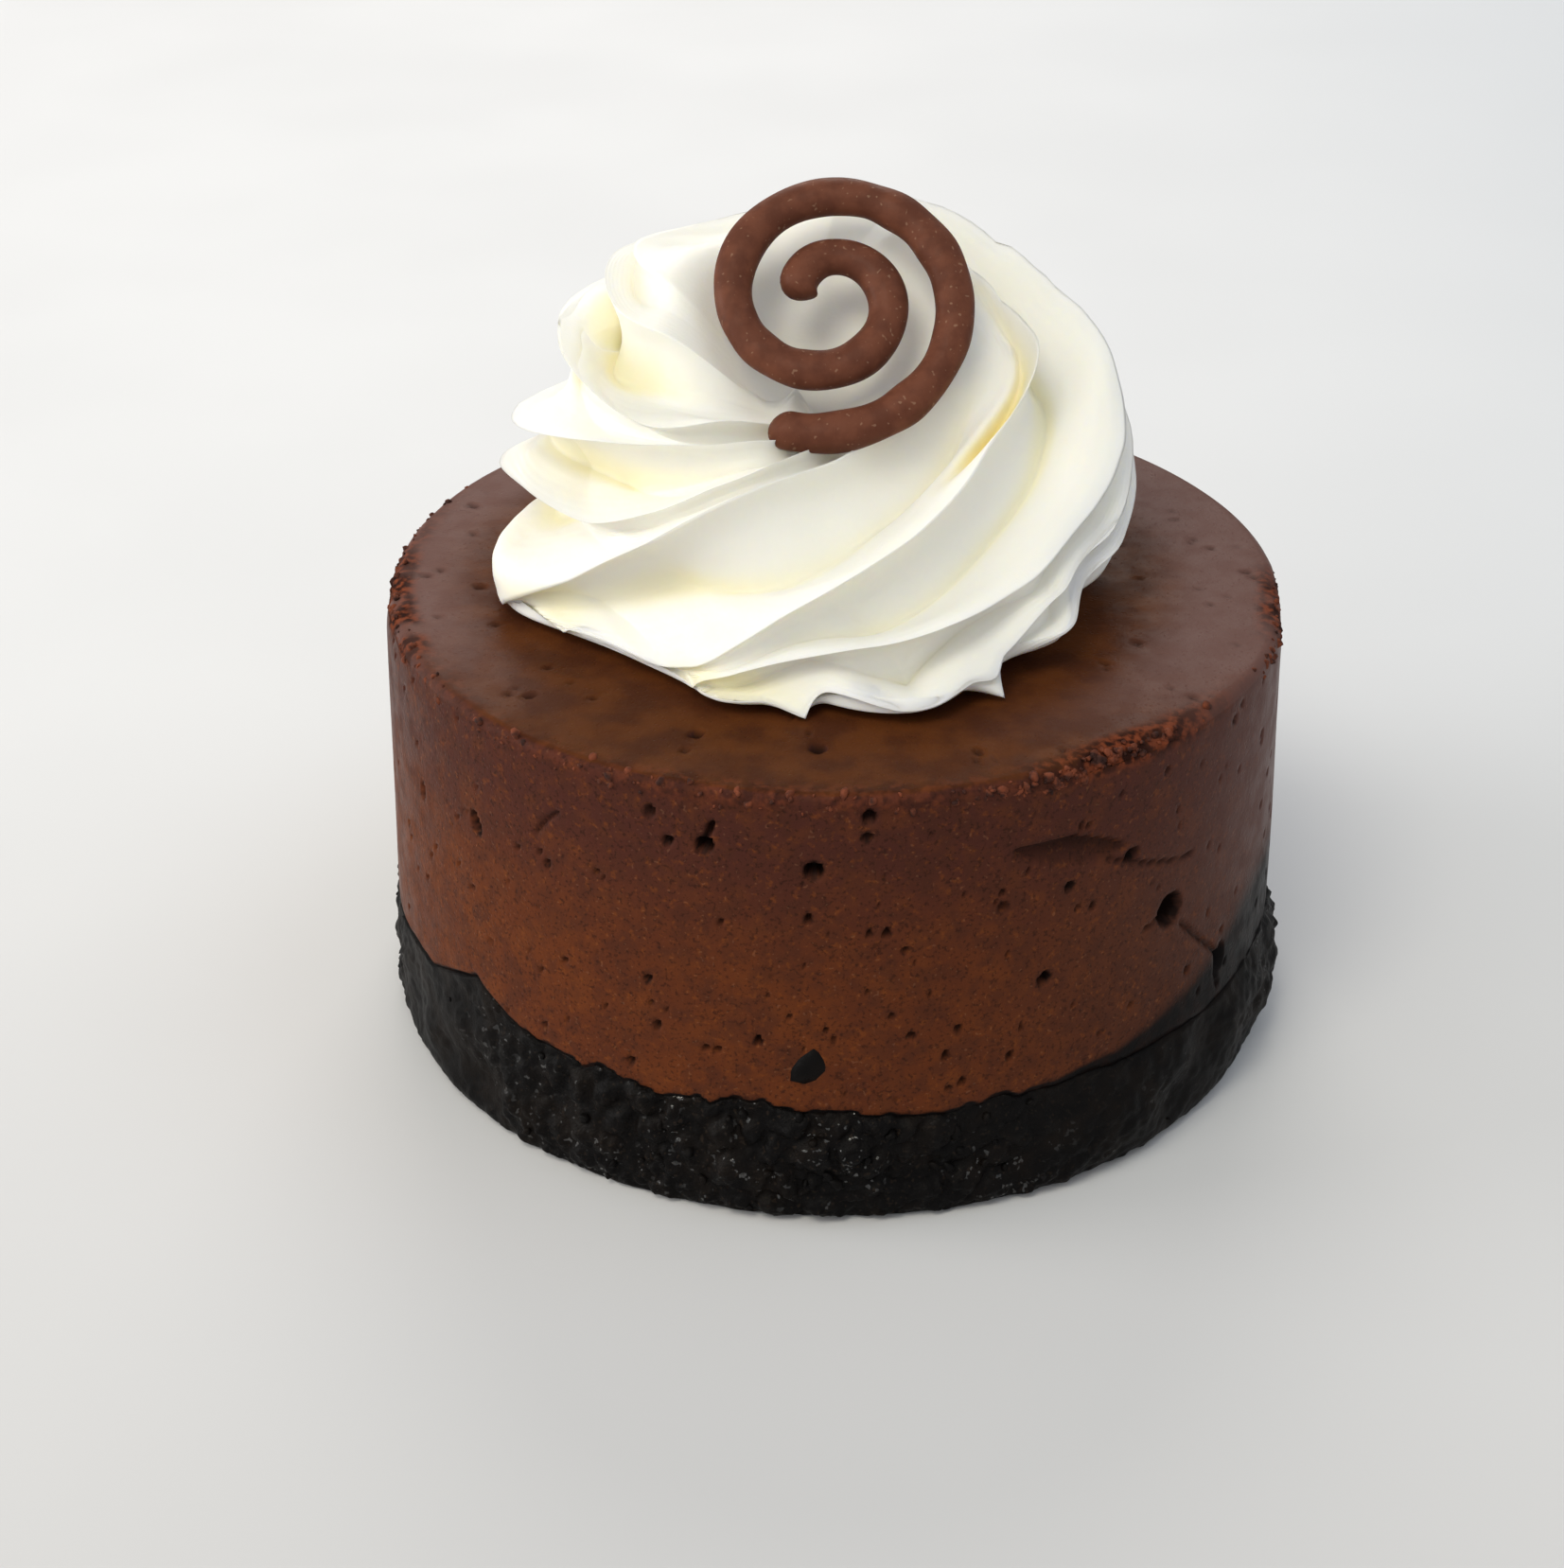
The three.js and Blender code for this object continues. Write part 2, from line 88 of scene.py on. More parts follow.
# Crumbs pressed into the crust: cell sizes, heights and levels, and the sides pressed smooth
# as (azimuth, half width, share)
COARSE_CRUMB = 2.7
FINE_CRUMB = 1.1
COARSE_HEIGHT = 0.75
FINE_HEIGHT = 0.3
COARSE_LEVEL = 0.35
FINE_LEVEL = 0.4
CELL_STEEPNESS = 1.8
GRAIN_HEIGHT = 0.1
GRAIN_SIZE = 0.6
RELIEF_START = 0.8
EDGE_RAGGED = 0.9
EDGE_CRUMB = 3.0
SMOOTH_SIDES = ((206, 24, 0.95), (325, 34, 0.9))
LOOSE_CRUMBS = 300
LOOSE_SIZE = (0.3, 0.8)
LOOSE_LEVELS = (0.05, 1.0)
LOOSE_POWER = 0.8
LOOSE_DROP = 0.3
LOOSE_INSET = 0.15

# Form of a single crumb: a lump broken off by flat faces, each at its own share of the radius
CRUMB_FACES = 11
CRUMB_FACE_REACH = (0.5, 0.9)
CRUMB_FACE_SLANT = 0.05
CRUMB_REACH = 1.1
CRUMB_STRETCH = (0.6, 1.15)

# Filling form, with chips along its rim as (azimuth, half width, depth)
EDGE_ROUND = 0.9
WALL_TOP = CAKE_HEIGHT - EDGE_ROUND
CHIPS = ((188, 24, 1.0), (306, 15, 1.1), (352, 9, 0.6))
CHIP_SIZE = 2.6
CHIP_WALL_SHARE = 0.4
CHIP_DROP_SHARE = 0.5
CHIP_REACH = 2.2
WALL_WAVE = 0.22
WALL_WAVE_SIZE = 16.8
FILLING_SINK = 1.4
EDGE_TUCK = 0.35
TUCK_HEIGHT = 0.5
WALL_ROWS = 80
RIM_ROWS = 9
TOP_ROWS = 36
TOP_SHOWN = 0.46
TOP_HIDDEN = (0.6, 0.8)
TOP_WAVE = 0.05
TOP_WAVE_SIZE = 5.0

# Torn rim: lumps of crumb, how far they spread and the faintly torn front as (azimuth, half width, share)
TORN_HEIGHT = 0.55
TORN_SIZE = 0.8
TORN_LEVEL = 0.35
TORN_OUTWARD = 0.8
TORN_UPWARD = (0, 0, 0.5)
TORN_CHIP_SHARE = 0.9
TORN_FRONT = (262, 36, 0.35)
TORN_PATCH_SIZE = 2.6
TORN_PATCH = (0.9, 1.1)
TORN_DROP = 1.2
TORN_DROP_FADE = 1.4
TORN_TOP_SHARE = 0.045

# Dark crumb smeared up the wall, mostly on the right, and the painted sheen of light skimming in from
# behind, on the top and on the right
SMEAR_START = 0.1
SMEAR_REACH = 0.4
SMEAR_RISE = 10.5
SMEAR_AZIMUTH = 340
SMEAR_WIDTH = 26
SHEEN_START = -28
SHEEN_REACH = 24
SHEEN_AWAY = 6
SHEEN_SLANT = 0.3
EDGE_SHEEN_RISE = 16
EDGE_SHEEN_AZIMUTH = 350
EDGE_SHEEN_WIDTH = 28
FILLING_MARKS = ("hole", "torn", "bloom", "smear")

# Mottling of the filling as (colour, size, detail, noise where it starts, noise where it is full, strength):
# dull, golden and orange patches, then dark and pale specks
FILLING_MOTTLES = (
    ((0.058, 0.020, 0.012, 1), 1.5, 4, 0.42, 0.64, 0.5),
    ((0.130, 0.037, 0.012, 1), 2.3, 4, 0.48, 0.68, 0.3),
    ((0.20, 0.055, 0.012, 1), 0.6, 4, 0.55, 0.72, 0.35),
    ((0.022, 0.009, 0.006, 1), 0.32, 3, 0.52, 0.70, 0.6),
    ((0.24, 0.11, 0.06, 1), 0.3, 0, 0.74, 0.82, 0.2),
)

# Air holes in the wall as (azimuth, height, half width, half height, tilt, depth)
WALL_HOLES = (
    (254.3, 33.2, 0.75, 0.75, 0, 1.5),
    (254.9, 34.6, 0.3, 0.85, -20, 0.8),
    (266.8, 31.8, 0.8, 0.75, 0, 1.6),
    (313.3, 22.2, 1.45, 1.5, -28, 2.2),
    (325.4, 14.0, 0.75, 1.2, 0, 1.6),
    (294.4, 20.4, 0.65, 0.5, 20, 1.3),
    (278.2, 17.3, 0.38, 0.34, 0, 1.0),
    (273.0, 36.3, 0.6, 0.55, 0, 0.9),
    (272.8, 34.6, 0.5, 0.4, 0, 0.8),
    (306.3, 28.9, 0.75, 0.6, 20, 1.2),
    (221.2, 28.4, 0.5, 1.15, 25, 1.1),
    (249.9, 33.1, 0.45, 0.4, 0, 0.9),
    (247.7, 35.2, 0.45, 0.6, 0, 0.6),
    (297.4, 28.0, 0.5, 0.4, 20, 0.9),
    (288.9, 27.5, 0.6, 0.35, 0, 0.5),
    (247.2, 20.6, 0.34, 0.32, 0, 0.9),
    (260.5, 16.6, 0.36, 0.34, 0, 1.0),
    (207.6, 27.0, 0.4, 0.8, 20, 0.8),
)

# A flake missing from the wall as (azimuth, height, half width, half height, tilt), and its depth
SCUFF = (297.6, 30.9, 5.4, 1.3, -12)
SCUFF_DEPTH = 0.8
SCUFF_EDGE = 0.15
SCUFF_LEAN = 0.35
# Painted shade in the flake, darkest along its deep upper edge
SCUFF_SHADE = 0.75

# Cracks in the wall as runs of (azimuth, height)
WALL_CRACKS = (
    ((315.6, 20.3), (318.8, 18.1), (321.8, 16.3), (324.1, 14.8), (324.3, 13.0), (325.1, 11.3)),
    ((302.6, 29.3), (306.3, 28.2), (309.4, 27.4), (313.7, 26.5), (317.0, 26.2)),
    ((309.0, 21.5), (312.0, 22.0)),
    ((232.0, 30.5), (233.6, 31.9), (235.3, 32.9)),
)
CRACK_WIDTH = 0.3
CRACK_DEPTH = 0.4
# Painted shade inside the cracks
CRACK_SHADE = 0.7

# Slope of the wall's holes and the rim of their painted shade, and the many small ones among them
HOLE_SLOPE = 0.45
HOLE_RIM = 0.2
SMALL_HOLES = 420
SMALL_HOLE_LOW = CRUST_HEIGHT + 1
SMALL_HOLE_HIGH = CAKE_HEIGHT - 1.5
SMALL_HOLE_SIZE = (0.14, 0.38)
SMALL_HOLE_POWER = 2.5
SMALL_HOLE_SQUEEZE = (0.7, 1.2)
SMALL_HOLE_DEPTH = 2.0

# Air holes in the top as (x, y, radius, depth), and how many smaller ones are added between two radii
TOP_HOLES = (
    (-10.8, -27.6, 0.7, 0.5),
    (-1.7, -29.7, 0.9, 0.5),
    (-23.7, -21.6, 0.6, 0.4),
    (-29.3, -2.8, 0.6, 0.35),
)
SMALL_TOP_HOLES = 60
SMALL_TOP_RADII = (24, 35)
SMALL_TOP_SIZE = (0.3, 0.55)
SMALL_TOP_DEPTH = 0.6
TOP_HOLE_SLOPE = 0.6
# Depth at which a top hole's painted shade is full
TOP_HOLE_SHADE = 0.6

# A dark crumb that shows in the filling's wall as (azimuth, height, size)
SUNK_CRUMB = (266.6, 14.3, 2.05)
SUNK_SHARE = 0.42
SUNK_STRETCH = (0.95, 1.1)

# Crumbs along the torn rim as (azimuth, half width, count)
RIM_CRUMBS = ((188, 26, 110), (301, 13, 130), (345, 12, 50), (262, 40, 60))
RIM_CRUMB_SIZE = (0.18, 0.55)
RIM_SPREAD = 0.55
RIM_DROP = 1.5
RIM_CHIP_SHARE = 0.8
RIM_CRUMB_INSET = 0.25

# Cream form
CREAM_CENTRE = (-1.5, 0.0)
CREAM_RADIUS = 26.4
CREAM_HEIGHT = 21.2
CREAM_TILT = 6.0
TILT_AZIMUTH = 105
FRONT_ROUND = 0.9
BACK_ROUND = 0.3
SIDE_BLEND = 0.95
DEPTH_BLEND = 0.8
FACING_POWER = 1.5
FRONT_INSET = 1.9
FRONT_AZIMUTH = 262
CREAM_LIFT = 1.0
SIDE_LIFT = 5.0
SIDE_AZIMUTH = 8
UNDERCUT = 0.24
FOOT_TUCK = 2.0
SIDE_TUCK = 5.2
TUCK_POWER = 1.5
EYE_RADIUS = 13.0
EYE_HEIGHT = 13.5
CREAM_SINK = 0.1

# Dents round the foot as (azimuth, half width, depth, rise), swells of the side
# as (azimuth, half width, rise, half height, swell) and lifts of the back as (azimuth, half width, lift)
FOOT_DENTS = (
    (225, 20, 2.0, 0.6), (284, 18, -2.0, 0.6), (328, 22, 2.2, 0.6),
    (199, 10, -1.0, 0.3), (254, 8, -1.5, 0.25), (269, 5, 0.9, 0.2),
    (287, 8, -1.1, 0.25), (318, 8, -2.4, 0.25), (340, 8, -0.8, 0.25),
)
SIDE_SWELLS = ((18, 20, 0.62, 0.17, 1.7), (158, 16, 0.52, 0.11, -2.8), (190, 14, 0.12, 0.10, 1.5))
BACK_LIFTS = ((57, 30, 1.8), (122, 20, -1.2))

# Crests of the ridges, each from its foot to the eye as azimuths and as rises
RIDGE_AZIMUTHS = np.array([
    [193, 199, 203, 207, 211, 215, 219, 224, 231, 241, 254, 280, 345],
    [210, 215, 225, 237, 246, 255, 266, 280, 296, 312, 328, 358, 430],
    [238, 242, 245, 248, 255, 266, 279, 294, 312, 335, 357, 385, 450],
    [240, 245, 247, 249, 260, 273, 288, 303, 317, 336, 395, 500, 534],
    [296, 298, 300, 302, 304, 306, 309, 317, 338, 395, 475, 522, 572],
    [355, 358, 361, 366, 378, 396, 420, 450, 485, 513, 540, 572, 608],
    [440, 443, 447, 454, 468, 486, 506, 526, 545, 560, 573, 592, 642],
    [470, 474, 480, 492, 508, 524, 541, 558, 575, 590, 602, 622, 668],
], float)
RIDGE_RISES = np.array([
    [-0.24, 0, 0.04, 0.08, 0.12, 0.16, 0.21, 0.275, 0.365, 0.51, 0.65, 0.78, 1],
    [-0.24, 0.01, 0.015, 0.015, 0.06, 0.165, 0.3, 0.42, 0.515, 0.61, 0.71, 0.835, 1],
    [-0.24, -0.18, -0.08, 0.02, 0.085, 0.145, 0.2, 0.215, 0.21, 0.275, 0.4, 0.67, 1],
    [-0.24, -0.21, -0.15, -0.05, -0.03, 0.04, -0.02, 0.01, 0.12, 0.12, 0.5, 0.79, 1],
    [-0.24, -0.235, -0.225, -0.21, -0.19, -0.16, -0.1, -0.01, 0.04, 0.285, 0.645, 0.82, 1],
    [-0.24, -0.2, -0.14, -0.05, 0.03, 0.09, 0.18, 0.3, 0.47, 0.62, 0.7, 0.668, 1],
    [-0.24, -0.18, -0.08, 0.01, 0.07, 0.15, 0.235, 0.32, 0.41, 0.505, 0.59, 0.7, 1],
    [-0.24, -0.14, 0, 0.055, 0.13, 0.195, 0.26, 0.32, 0.343, 0.46, 0.6, 0.78, 1],
], float)

# Form of the faces between the crests; pairs are for the left and for the front
RIDGE_DEPTH = 6.0
DEPTH_PER_SPACING = 0.95
OVERHANG = 0.22
FRONT_FACES = 290
VALLEY = (0.28, 0.46)
# The next two give the width and strength of the painted yellow glow along each valley, for light that
# shines through the cream
CREVICE_GLOW_WIDTH = (0.13, 0.07)
CREASE_GLOW = (1, 0.5)
HOLLOW_POWER = 1.15
SWELL_POWER = (0.95, 1.2)
FOOT_DEPTH = (0.35, 0.8)
FOOT_DEPTH_RISE = 0.25
EYE_FADE = 0.2
FOOT_FADE = 0.1
RIDGE_COLUMNS = 50
CREAM_ROWS = 240
SLOPE_STEP = 0.01
EYE_LIMIT = 0.985

# Cream surface: wobble of the crests, fine furrows along them and peaks in the eye
# as (x, y, radius, height)
CREST_WOBBLE = 0.16
WOBBLE_SIZE = 3.2
FURROW = 0.02
FURROWS_PER_RIDGE = 9
EYE_PEAKS = ((-3.2, -1.5, 2.0, 3.4), (3.6, -0.4, 2.0, 3.6))
EYE_PEAK_POWER = 1.6

# Painted yellow shade and glow in hollows near the foot, for light that shines through the cream, as
# (azimuth, half width, rise, half height, share)
FOOT_GLOWS = ((253, 13, 0.03, 0.05, 1.0), (209, 9, 0.05, 0.06, 0.8))

# Shallower valleys, a deep cleft beside the second ridge's crest and the crest's free end, which stands up,
# each as (phase, half width, along, half length, size), and a ragged place next to the cleft
SHALLOW_VALLEYS = ((5.3, 0.35, 0.775, 0.05, 0.5), (2.12, 0.2, 0.87, 0.02, 0.4))
CLEFT = (0.86, 0.1, 0.885, 0.055, 1)
CLEFT_DEPTH = 2.6
BLADE = (1.0, 0.06, 0.915, 0.022, 1.3)
RAGGED_PLACE = (12.3, 9.2)
RAGGED_RADIUS = 5.5
RAGGED_HEIGHT = 0.55
RAGGED_SIZE = 1.7

# Torn tips that the rosette is drawn out to, as (place, radius)
CREAM_TIPS = (
    ((-2.6, -25.9, 38.3), 2.6),
    ((12.6, -22.8, 38.4), 2.4),
    ((0.6, -23.0, 41.3), 1.5),
    ((-1.0, -24.4, 39.6), 1.6),
)
TIP_POWER = 1.6

# Spiral form
SPIRAL_CENTRE = (-0.8, 0.5, 61.7)
SPIRAL_LEAN = 45
SPIRAL_RADIUS = 11.6
SPIRAL_PITCH = 5.3
SPIRAL_TURNS = 1.7
SPIRAL_START = -105
BEAD_WIDTH = 3.2
BEAD_THICKNESS = 2.7
SPIRAL_STEPS = 420
BEAD_SIDES = 26
BEAD_END_STEPS = 8
BEAD_WAVE = 0.12
BEAD_WAVE_SIZE = 2.6

# Camera: the photograph's viewing angle
FRAME_WIDTH = 1653
FRAME_HEIGHT = 1657
FOCAL_PIXELS = 3061.41
SENSOR = 36.0
CAMERA_PLACE = (-4.37, -216.69, 143.29)
CAMERA_ELEVATION = 30.1083
CLIP_START = 10

# Studio, in metres: the floor's reach, the room's brightness in front and behind, and lamps
# as (name, azimuth, elevation, size, power, colour)
FLOOR_REACH = 3.0
ROOM_FRONT = 0.74
ROOM_BACK = 0.30
ROOM_COLOUR = (0.95, 0.975, 1.0, 1)
LAMP_DISTANCE = 1.0
LAMP_AIM = (0, 0, 0.04)
LAMPS = (
    ("key", 240, 57, 0.4, 3.1, (1.0, 0.95, 0.80)),
    ("left", 180, 16, 0.6, 4.8, (1.0, 0.98, 0.95)),
    ("front", 225, 35, 0.6, 1.4, (1.0, 0.95, 0.82)),
    ("back", 90, 35, 0.6, 3.6, (1.0, 0.95, 0.88)),
    ("right", 0, 60, 0.6, 0.8, (0.65, 0.82, 1.0)),
)

random = np.random.default_rng(SEED)


# Numbers and noise

def smooth(value):
    value = np.clip(value, 0, 1)
    return value * value * (3 - 2 * value)


def mix(one, other, share):
    return one + (other - one) * share


def turn_between(start, end):
    return (end - start + TURN / 2) % TURN - TURN / 2


def near(azimuth, centre, half_width):
    return np.exp(-(turn_between(centre, azimuth) / half_width) ** 2)


def bell(value, centre, half_width):
    return np.exp(-(((value - centre) / half_width) ** 2))


# Azimuths of a wall's columns, closer together on the side that the photograph shows
def wall_columns():
    share = np.linspace(0, 1, COLUMNS, endpoint=False)
    return (TURN * share - FRONT_SPREAD * np.sin(2 * np.pi * (share - 0.75))) % TURN


def around(azimuth, radius, height):
    angle = np.radians(azimuth)
    parts = np.broadcast_arrays(radius * np.cos(angle), radius * np.sin(angle), height)
    return np.stack(parts, axis=-1).astype(float)


# Distance from a place as seen from above
def level_distance(points, place):
    return np.hypot(points[..., 0] - place[0], points[..., 1] - place[1])


def lattice_value(*steps):
    wave = np.sin(sum(step * factor for step, factor in zip(steps, LATTICE_FACTORS))) * LATTICE_SCALE
    return wave - np.floor(wave)


def plane_noise(across, up):
    column = np.floor(across)
    row = np.floor(up)
    share = smooth(across - column)
    low = mix(lattice_value(column, row), lattice_value(column + 1, row), share)
    high = mix(lattice_value(column, row + 1), lattice_value(column + 1, row + 1), share)
    return 2 * mix(low, high, smooth(up - row)) - 1


# The solids' own wall noise, which joins up with itself after a full turn
def wall_noise(azimuth, height, grain):
    whole = 2 * np.pi * BASE_RADIUS / grain
    along = azimuth / TURN * whole
    here = plane_noise(along, height / grain)
    return mix(here, plane_noise(along - whole, height / grain), smooth(azimuth / TURN))


# Noise in space between -1 and 1
def space_noise(points, grain):
    scaled = points / grain
    base = np.floor(scaled)
    share = smooth(scaled - base)
    total = np.zeros(points.shape[:-1])
    for corner in np.ndindex(2, 2, 2):
        weight = np.prod(np.where(corner, share, 1 - share), axis=-1)
        total += weight * lattice_value(*np.moveaxis(base + corner, -1, 0))
    return 2 * total - 1


# Packed crumbs: 0 in the cracks between them, growing towards the middle of each
def crumb_cells(points, grain):
    scaled = points / grain
    base = np.floor(scaled)
    nearest = np.full(points.shape[:-1], np.inf)
    second = nearest.copy()
    for step in np.ndindex(3, 3, 3):
        cell = base + step - 1
        jitter = [lattice_value(*np.moveaxis(cell + shift, -1, 0)) for shift in JITTER_SHIFTS]
        distance = np.linalg.norm(cell + np.stack(jitter, axis=-1) - scaled, axis=-1)
        second = np.minimum(second, np.maximum(nearest, distance))
        nearest = np.minimum(nearest, distance)
    return second - nearest


# Meshes

# Points and faces of a closed skin over rings, between a point at either end
def skin(first, rings, last):
    rows, columns = rings.shape[:2]
    points = np.concatenate([[first], rings.reshape(-1, 3), [last]])
    here = np.arange(columns)
    after = (here + 1) % columns
    faces = []
    for row in range(rows - 1):
        low = 1 + row * columns
        high = low + columns
        faces += np.stack([low + here, low + after, high + after, high + here], axis=1).tolist()
    top = 1 + (rows - 1) * columns
    edges = list(zip(here.tolist(), after.tolist()))
    faces += [[0, 1 + j, 1 + i] for i, j in edges]
    faces += [[top + i, top + j, len(points) - 1] for i, j in edges]
    return points, faces


def add_object(name, data):
    thing = bpy.data.objects.new(name, data)
    bpy.context.scene.collection.objects.link(thing)
    return thing


# Marks are given for the rings, and the point at either end takes its neighbour's
def make_piece(name, points, faces, surface, marks=None, node=None):
    mesh = bpy.data.meshes.new(name)
    mesh.from_pydata((np.asarray(points) * MM).tolist(), [], faces)
    for mark, values in (marks or {}).items():
        layer = mesh.attributes.new(mark, "FLOAT", "POINT")
        layer.data.foreach_set("value", np.pad(np.ravel(values), 1, "edge").astype(np.float32))
    mesh.shade_smooth()
    mesh.materials.append(surface)
    piece = add_object(name, mesh)
    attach(piece, "root")
    if node:
        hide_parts(node)


def lump_template():
    shape = bmesh.new()
    bmesh.ops.create_icosphere(shape, subdivisions=2, radius=1.0)
    points = np.array([vertex.co[:] for vertex in shape.verts])
    faces = np.array([[vertex.index for vertex in face.verts] for face in shape.faces])
    shape.free()
    return points, faces


def random_turn():
    return np.array(Quaternion(random.normal(size=4)).normalized().to_matrix())


# How far a crumb reaches in each direction, broken off by flat faces at random
def broken_reach(directions):
    normals = random.normal(size=(CRUMB_FACES, 3))
    normals /= np.linalg.norm(normals, axis=1, keepdims=True)
    faces = random.uniform(*CRUMB_FACE_REACH, CRUMB_FACES)
    faces = faces / np.maximum(directions @ normals.T, CRUMB_FACE_SLANT)
    return np.minimum(faces.min(axis=1), CRUMB_REACH)


# One mesh of many uneven crumbs, each of its own size at its own place
def make_crumbs(name, places, sizes, surface, stretches=CRUMB_STRETCH):
    template, template_faces = lump_template()
    points = []
    faces = []
    for place, size in zip(places, sizes):
        stretch = random.uniform(*stretches, 3)
        crumb = (template * broken_reach(template)[:, None] * stretch) @ random_turn().T
        faces.append(template_faces + len(points) * len(template))
        points.append(place + size * crumb)
    make_piece(name, np.concatenate(points), np.concatenate(faces).tolist(), surface)


# Materials

class Surface:
    """A material whose shader is fed by textures in the object's own coordinates"""

    def __init__(self, name, **values):
        self.material = bpy.data.materials.new(name)
        self.material.use_nodes = True
        self.tree = self.material.node_tree
        self.shader = self.tree.nodes["Principled BSDF"]
        self.place = self.add("ShaderNodeTexCoord").outputs["Object"]
        for socket, value in values.items():
            self.shader.inputs[socket.replace("_", " ")].default_value = value

    def add(self, kind, **settings):
        node = self.tree.nodes.new(kind)
        for name, value in settings.items():
            setattr(node, name, value)
        return node

    def put(self, socket, value):
        if isinstance(value, bpy.types.NodeSocket):
            self.tree.links.new(value, socket)
        else:
            socket.default_value = value

    def feed(self, name, value):
        self.put(self.shader.inputs[name], value)

    def texture(self, kind, size):
        node = self.add(kind)
        self.put(node.inputs["Vector"], self.place)
        self.put(node.inputs["Scale"], 1 / (size * MM))
        return node

    def noise(self, size, detail):
        node = self.texture("ShaderNodeTexNoise", size)
        self.put(node.inputs["Detail"], detail)
        return node.outputs[0]

    def cells(self, size):
        return self.texture("ShaderNodeTexVoronoi", size).outputs["Distance"]

    def mark(self, name):
        return self.add("ShaderNodeAttribute", attribute_name=name).outputs["Fac"]

    def part(self, vector, axis):
        node = self.add("ShaderNodeSeparateXYZ")
        self.put(node.inputs[0], vector)
        return node.outputs[axis]

    def upward(self):
        return self.part(self.add("ShaderNodeNewGeometry").outputs["Normal"], "Z")

    def along(self, axis):
        return self.part(self.place, axis)

    def remap(self, value, start, end, low=0.0, high=1.0):
        node = self.add("ShaderNodeMapRange", interpolation_type="SMOOTHSTEP")
        for socket, number in zip(node.inputs, (value, start, end, low, high)):
            self.put(socket, number)
        return node.outputs[0]

    def times(self, one, other):
        node = self.add("ShaderNodeMath", operation="MULTIPLY")
        self.put(node.inputs[0], one)
        self.put(node.inputs[1], other)
        return node.outputs[0]

    # A mix node's colour sockets share their names with others, so they are taken by number
    def tint(self, factor, one, other):
        node = self.add("ShaderNodeMix", data_type="RGBA")
        for socket, value in ((0, factor), (6, one), (7, other)):
            self.put(node.inputs[socket], value)
        return node.outputs[2]

    # Tints one colour with the other in patches of noise
    def mottle(self, one, other, size, detail, start, end, most=1.0):
        return self.tint(self.remap(self.noise(size, detail), start, end, 0.0, most), one, other)

    def bump(self, height, distance, strength, under=None):
        node = self.add("ShaderNodeBump")
        self.put(node.inputs["Height"], height)
        self.put(node.inputs["Distance"], distance * MM)
        self.put(node.inputs["Strength"], strength)
        if under is not None:
            self.put(node.inputs["Normal"], under)
        return node.outputs["Normal"]


def crust_surface():
    surface = Surface("crust_surface")
    rough = surface.mark("rough")
    dark = surface.mottle((0.0035, 0.003, 0.003, 1), (0.007, 0.005, 0.004, 1), 3.0, 3, 0.4, 0.7)
    specks = surface.times(rough, surface.remap(surface.noise(0.4, 1), 0.62, 0.72))
    surface.feed("Base Color", surface.tint(specks, dark, (0.016, 0.011, 0.008, 1)))
    groups = surface.times(rough, surface.remap(surface.noise(6.0, 2), 0.45, 0.62))
    glints = surface.times(groups, surface.remap(surface.noise(0.55, 1), 0.63, 0.69))
    surface.feed("Roughness", surface.remap(glints, 0, 1, 0.5, 0.12))
    surface.feed("Specular IOR Level", surface.remap(glints, 0, 1, 0.06, 1.0))
    uneven = surface.remap(rough, 0, 1, 0.25, 0.7)
    coarse = surface.bump(surface.noise(0.7, 3), 0.25, uneven)
    surface.feed("Normal", surface.bump(surface.noise(0.22, 1), 0.08, uneven, coarse))
    return surface.material


# Brown of the filling: warmer low down, darker on the right as painted shade where the light from the left
# falls off, purplish near the rim and mottled all over
def filling_brown(surface):
    brown = surface.mottle((0.097, 0.0268, 0.0112, 1), (0.117, 0.0314, 0.0107, 1), 4.5, 4, 0.36, 0.66)
    # Painted shade: the filling darker towards the right, away from the light
    right = surface.remap(surface.along("X"), 6 * MM, 32 * MM)
    brown = surface.tint(right, brown, (0.070, 0.0255, 0.0155, 1))
    high = surface.remap(surface.along("Z"), 21 * MM, 34 * MM, 0, 0.9)
    brown = surface.tint(high, brown, (0.060, 0.0195, 0.0145, 1))
    for mottling in FILLING_MOTTLES:
        brown = surface.mottle(brown, *mottling)
    return brown


# The level top: streaked and warm at the front, with a painted sheen where light skims it from behind
def filling_top(surface, brown):
    warm = surface.mottle((0.060, 0.018, 0.007, 1), (0.092, 0.028, 0.008, 1), 3.5, 4, 0.35, 0.65)
    brown = surface.tint(surface.remap(surface.upward(), 0.75, 0.95), brown, warm)
    # Painted sheen: a pale tint standing in for light reflected at a grazing angle
    return surface.tint(surface.mark("bloom"), brown, (0.13, 0.067, 0.057, 1))


